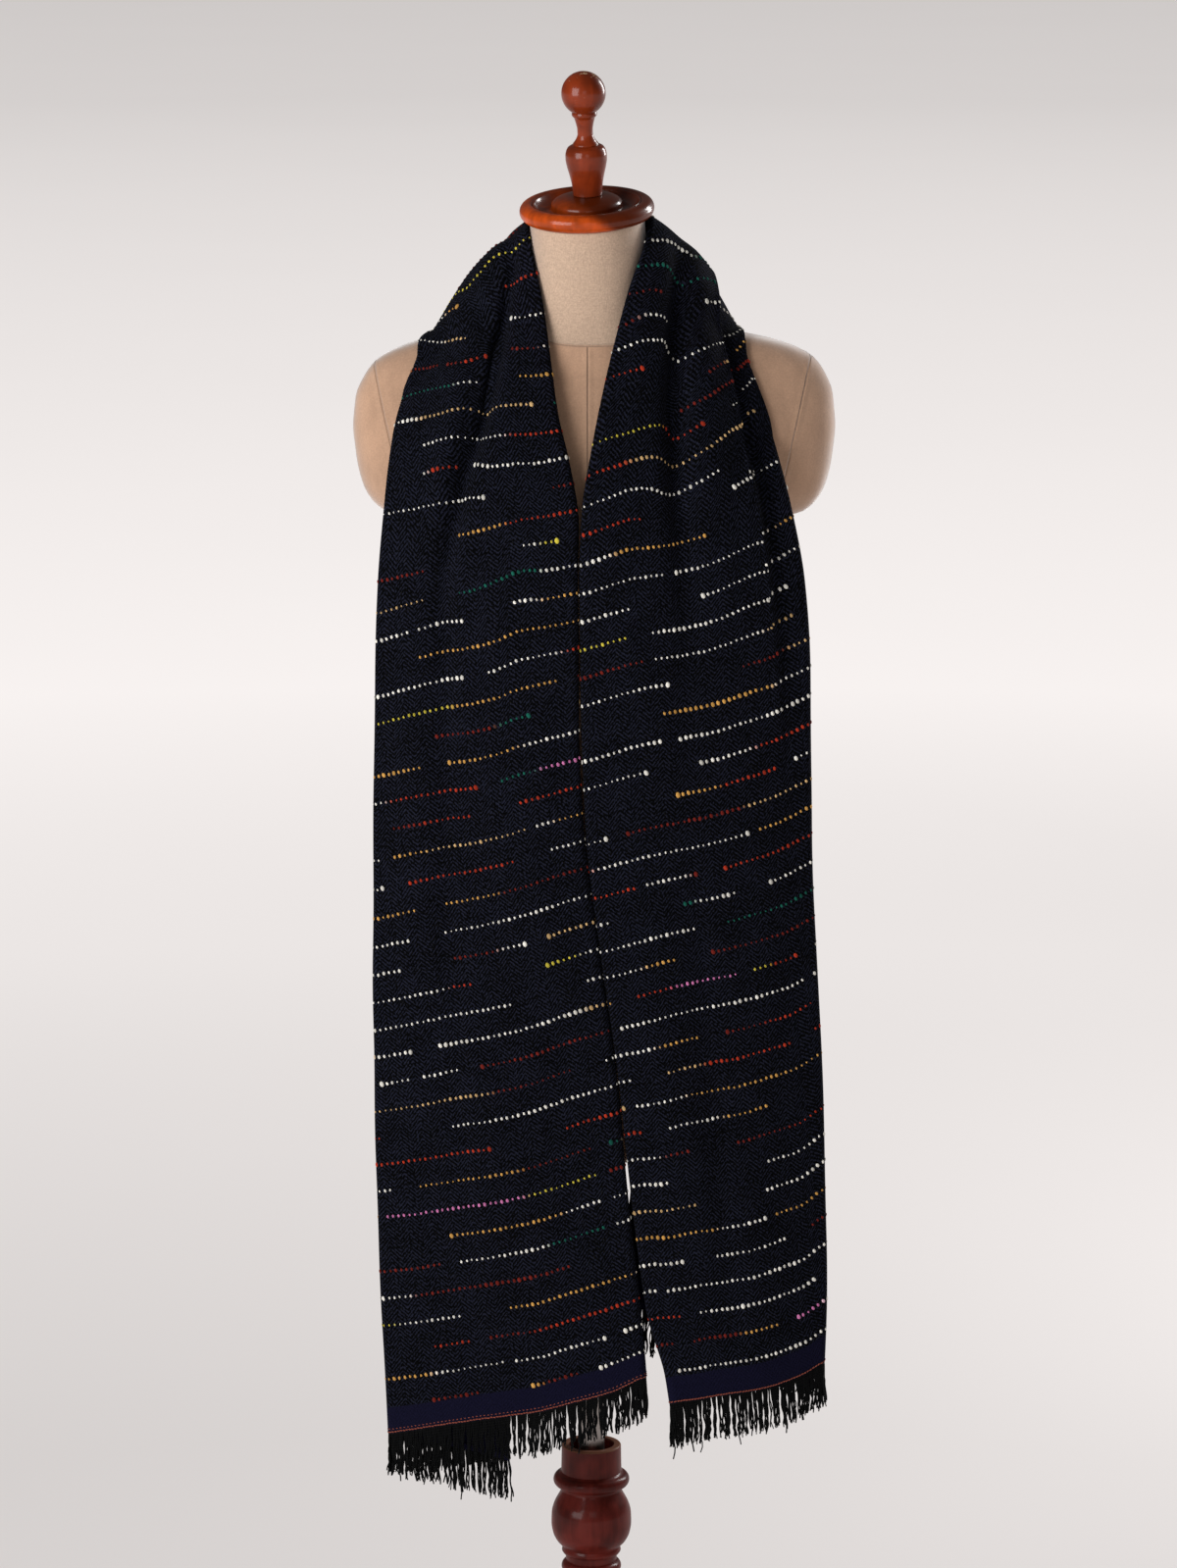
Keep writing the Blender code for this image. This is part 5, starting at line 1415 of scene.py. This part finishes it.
def pole_profile():
    """A plain bar with its edges taken off."""
    low = POST_TOP_Z - POLE_IN_POST
    high = SOCKET_TOP_Z - GAP
    edge = 0.0008
    return [(0.0, high), (POLE_RADIUS - edge, high), (POLE_RADIUS, high - edge), (POLE_RADIUS, low + edge),
            (POLE_RADIUS - edge, low), (0.0, low)]


def neck_matrix():
    """Stands a piece on the middle of the neck's sloping top."""
    slope = Vector((-math.tan(NECK_ROLL), -math.tan(NECK_NOD), 1.0)).normalized()
    turn = Vector((0, 0, 1)).rotation_difference(slope).to_matrix().to_4x4()
    return Matrix.Translation((NECK_CENTRE[0], NECK_CENTRE[1], NECK_TOP_Z + GAP)) @ turn


def add_turned(name, profile, sides, finish, body, node, matrix=None):
    """Adds a turned piece in place of a solid, stood up by the matrix if there is one."""
    points, faces = turned_points(profile, sides)
    if matrix is not None:
        matrix = np.array(matrix)
        points = points @ matrix[:3, :3].T + matrix[:3, 3]
    return add_piece(name, points, faces, finish, body, (node,), 40.0)


# ---------------------------------------------------------------- operators
SHARED = {}


class SCARF_OT_form(bpy.types.Operator):
    """Builds the padded body with its neck and shoulder caps"""

    bl_idname = "scarf.form"
    bl_label = "Dress Form"

    def execute(self, context):
        points, faces = form_surface(144, 0.006)
        finish = form_finish(context.scene.form_settings)
        body = add_piece("form_body", points, faces, finish, "form", ("torso",), 60.0)
        shape = bmesh.new()
        shape.from_mesh(body.data)
        SHARED["form_tree"] = BVHTree.FromBMesh(shape)
        shape.free()
        return {"FINISHED"}


class SCARF_OT_cloth(bpy.types.Operator):
    """Builds the scarf's cloth, folded lengthwise and hung over the neck and shoulders"""

    bl_idname = "scarf.cloth"
    bl_label = "Scarf"

    def execute(self, context):
        if "form_tree" not in SHARED:
            raise RuntimeError("the dress form comes before the scarf")
        surface = ClothSurface(SHARED["form_tree"])
        SHARED["surface"] = surface
        points, place = surface.with_returns()
        rows, columns = points.shape[:2]
        finish = wool_finish(context.scene.scarf_settings)
        nodes = ("scarf_left", "scarf_neck", "scarf_right")
        cloth = add_piece(
            "scarf", points.reshape(-1, 3), grid_faces(rows, columns), finish, "form", nodes
        )
        point_vectors(cloth, "cloth_place", place.reshape(-1, 3))
        SHARED["cloth"] = cloth
        return {"FINISHED"}


class SCARF_OT_dashes(bpy.types.Operator):
    """Adds the rows of coloured yarn dots that are woven into the cloth"""

    bl_idname = "scarf.dashes"
    bl_label = "Coloured Dashes"

    def execute(self, context):
        settings = context.scene.scarf_settings
        dots = dash_plan(settings, 31)
        source = random.Random(12)
        half = settings.slub_size / 2
        spots = [
            (row, run, half * size * 0.74, half * size, DOT_HEIGHT * size, source.uniform(-0.40, 0.10))
            for row, run, size, _ in dots
        ]
        points, faces = place_beads(SHARED["surface"], spots)
        piece = add_piece("woven_dashes", points, faces, slub_finish(), "form")
        colours = [colour for _, _, _, colour in dots]
        point_colours(piece, "yarn_colour", np.repeat(colours, len(points) // len(dots), axis=0))
        SHARED["dashes"] = piece
        return {"FINISHED"}


class SCARF_OT_hems(bpy.types.Operator):
    """Adds the stitches along both hems and the loose threads below them"""

    bl_idname = "scarf.hems"
    bl_label = "Hem Stitches and Fringes"

    def execute(self, context):
        settings = context.scene.scarf_settings
        surface = SHARED["surface"]
        points, faces = hem_stitches(surface, 5)
        thread = yarn_finish("sewing_thread", tuple(settings.stitch_colour), 0.5)
        stitches = add_piece("hem_stitches", points, faces, thread, "form")
        point_vectors(stitches, "thread_place", points * (40.0, 40.0, 1.0))
        yarn = yarn_finish("fringe_yarn", tuple(settings.fringe_colour), 0.6)
        for side, at_end, seed in (("left", False, 17), ("right", True, 23)):
            points, faces, places = fringe_threads(surface, at_end, settings, seed)
            name = "fringe_threads_" + side
            fringe = add_piece(name, points, faces, yarn, "form", ("fringe_" + side,))
            point_vectors(fringe, "thread_place", places)
        return {"FINISHED"}


class SCARF_OT_cap_and_finial(bpy.types.Operator):
    """Builds the turned cap on the neck and the finial on it"""

    bl_idname = "scarf.cap_and_finial"
    bl_label = "Cap and Finial"

    def execute(self, context):
        settings = context.scene.stand_settings
        stand = neck_matrix()
        # Painted shade on the cap: its right side is made darker, and so are its dish and dome.
        cap_wood = wood_finish(
            "red_wood_cap", tuple(settings.cap_colour), 0.52, 0.45,
            painted_shade_from=stand.translation.z * 1.5 + 0.006, dish=DISH_SHADE_RADIUS,
        )
        above = stand @ Matrix.Translation((FINIAL_ASIDE, 0.0, CAP_HEIGHT + GAP))
        ball_z = (above @ Vector((0.0, 0.0, BALL_CENTRE_HEIGHT))).z
        finial_wood = wood_finish(
            "red_wood_finial", tuple(settings.finial_colour), 0.60, 0.45, chips_above=ball_z
        )
        for name, profile, wood, node, matrix in (
            ("turned_cap", cap_profile(), cap_wood, "neck_cap", stand),
            ("turned_finial", finial_profile(), finial_wood, "finial", above),
        ):
            add_turned(name, profile, settings.sides, wood, "form", node, matrix)
        return {"FINISHED"}


class SCARF_OT_stand(bpy.types.Operator):
    """Builds the turned post and base and the steel pole"""

    bl_idname = "scarf.stand"
    bl_label = "Stand"

    def execute(self, context):
        settings = context.scene.stand_settings
        colour = tuple(settings.post_colour)
        sides = settings.sides
        post_wood = wood_finish("dark_wood_post", colour, 0.50, 0.18, bare_above=POST_TOP_Z - 0.0012)
        base_wood = wood_finish("dark_wood_base", colour, 0.50, 0.18)
        add_turned("turned_post", post_profile(), sides, post_wood, "stand", "post")
        add_turned("turned_base", base_profile(), sides, base_wood, "stand", "base")
        add_turned("steel_pole", pole_profile(), sides, steel_finish(), "pole", "pole")
        return {"FINISHED"}


class SCARF_OT_stage(bpy.types.Operator):
    """Adds the floor, the soft lights and the camera"""

    bl_idname = "scarf.stage"
    bl_label = "Stage"

    def execute(self, context):
        settings = context.scene.stage_settings
        scene = context.scene
        mesh = bpy.data.meshes.new("floor")
        corners = ((-1, -1), (1, -1), (1, 1), (-1, 1))
        points = [(x * FLOOR_HALF, y * FLOOR_HALF, FLOOR_Z) for x, y in corners]
        mesh.from_pydata(points, [], [(0, 1, 2, 3)])
        mesh.materials.append(floor_finish(settings.floor_colour))
        floor = bpy.data.objects.new("floor", mesh)
        scene.collection.objects.link(floor)

        world = bpy.data.worlds.new("soft_surroundings")
        world.use_nodes = True
        background = world.node_tree.nodes["Background"]
        background.inputs["Color"].default_value = SURROUNDINGS_COLOUR
        background.inputs["Strength"].default_value = settings.surroundings
        scene.world = world

        for row in LIGHTS:
            here = dict(zip(LIGHT_COLUMNS, row))
            light = bpy.data.lights.new(here["name"], "AREA")
            light.shape = "RECTANGLE"
            light.size, light.size_y = here["size"]
            light.energy = getattr(settings, here["power"])
            lamp = bpy.data.objects.new(here["name"], light)
            lamp.location = here["place"]
            towards = Vector(LIGHTS_AIM) - Vector(here["place"])
            lamp.rotation_euler = towards.to_track_quat("-Z", "Y").to_euler()
            scene.collection.objects.link(lamp)

        camera = bpy.data.cameras.new("camera")
        camera.sensor_width = SENSOR_SIZE
        camera.lens = FOCAL_PIXELS / PICTURE_HEIGHT * SENSOR_SIZE
        eye = bpy.data.objects.new("camera", camera)
        eye.location = CAMERA_PLACE
        eye.rotation_euler = (math.pi / 2 - CAMERA_DIP, 0.0, 0.0)
        scene.collection.objects.link(eye)
        scene.camera = eye
        scene.view_settings.view_transform = "Standard"
        return {"FINISHED"}


OPERATORS = (
    SCARF_OT_form, SCARF_OT_cloth, SCARF_OT_dashes, SCARF_OT_hems, SCARF_OT_cap_and_finial,
    SCARF_OT_stand, SCARF_OT_stage,
)


class SCARF_PT_panel(bpy.types.Panel):
    """Lists the pieces of the scarf, its form and its stand"""

    bl_idname = "SCARF_PT_panel"
    bl_label = "Scarf on a Dress Form"
    bl_space_type = "VIEW_3D"
    bl_region_type = "UI"
    bl_category = "Scarf"

    def draw(self, context):
        layout = self.layout
        for group in GROUPS:
            settings = getattr(context.scene, group)
            box = layout.box()
            for name in settings.__annotations__:
                box.prop(settings, name)
        for operator in OPERATORS:
            layout.operator(operator.bl_idname)


GROUPS = {
    "scarf_settings": ScarfSettings,
    "form_settings": FormSettings,
    "stand_settings": StandSettings,
    "stage_settings": StageSettings,
}


def register():
    for group in GROUPS.values():
        bpy.utils.register_class(group)
    for name, group in GROUPS.items():
        setattr(bpy.types.Scene, name, PointerProperty(type=group))
    for operator in OPERATORS:
        bpy.utils.register_class(operator)
    bpy.utils.register_class(SCARF_PT_panel)


def unregister():
    bpy.utils.unregister_class(SCARF_PT_panel)
    for operator in reversed(OPERATORS):
        bpy.utils.unregister_class(operator)
    for name, group in GROUPS.items():
        delattr(bpy.types.Scene, name)
        bpy.utils.unregister_class(group)


def main():
    """Builds everything in order."""
    register()
    bpy.ops.scarf.form()
    bpy.ops.scarf.cloth()
    bpy.ops.scarf.dashes()
    bpy.ops.scarf.hems()
    bpy.ops.scarf.cap_and_finial()
    bpy.ops.scarf.stand()
    bpy.ops.scarf.stage()


if __name__ == "__main__":
    main()
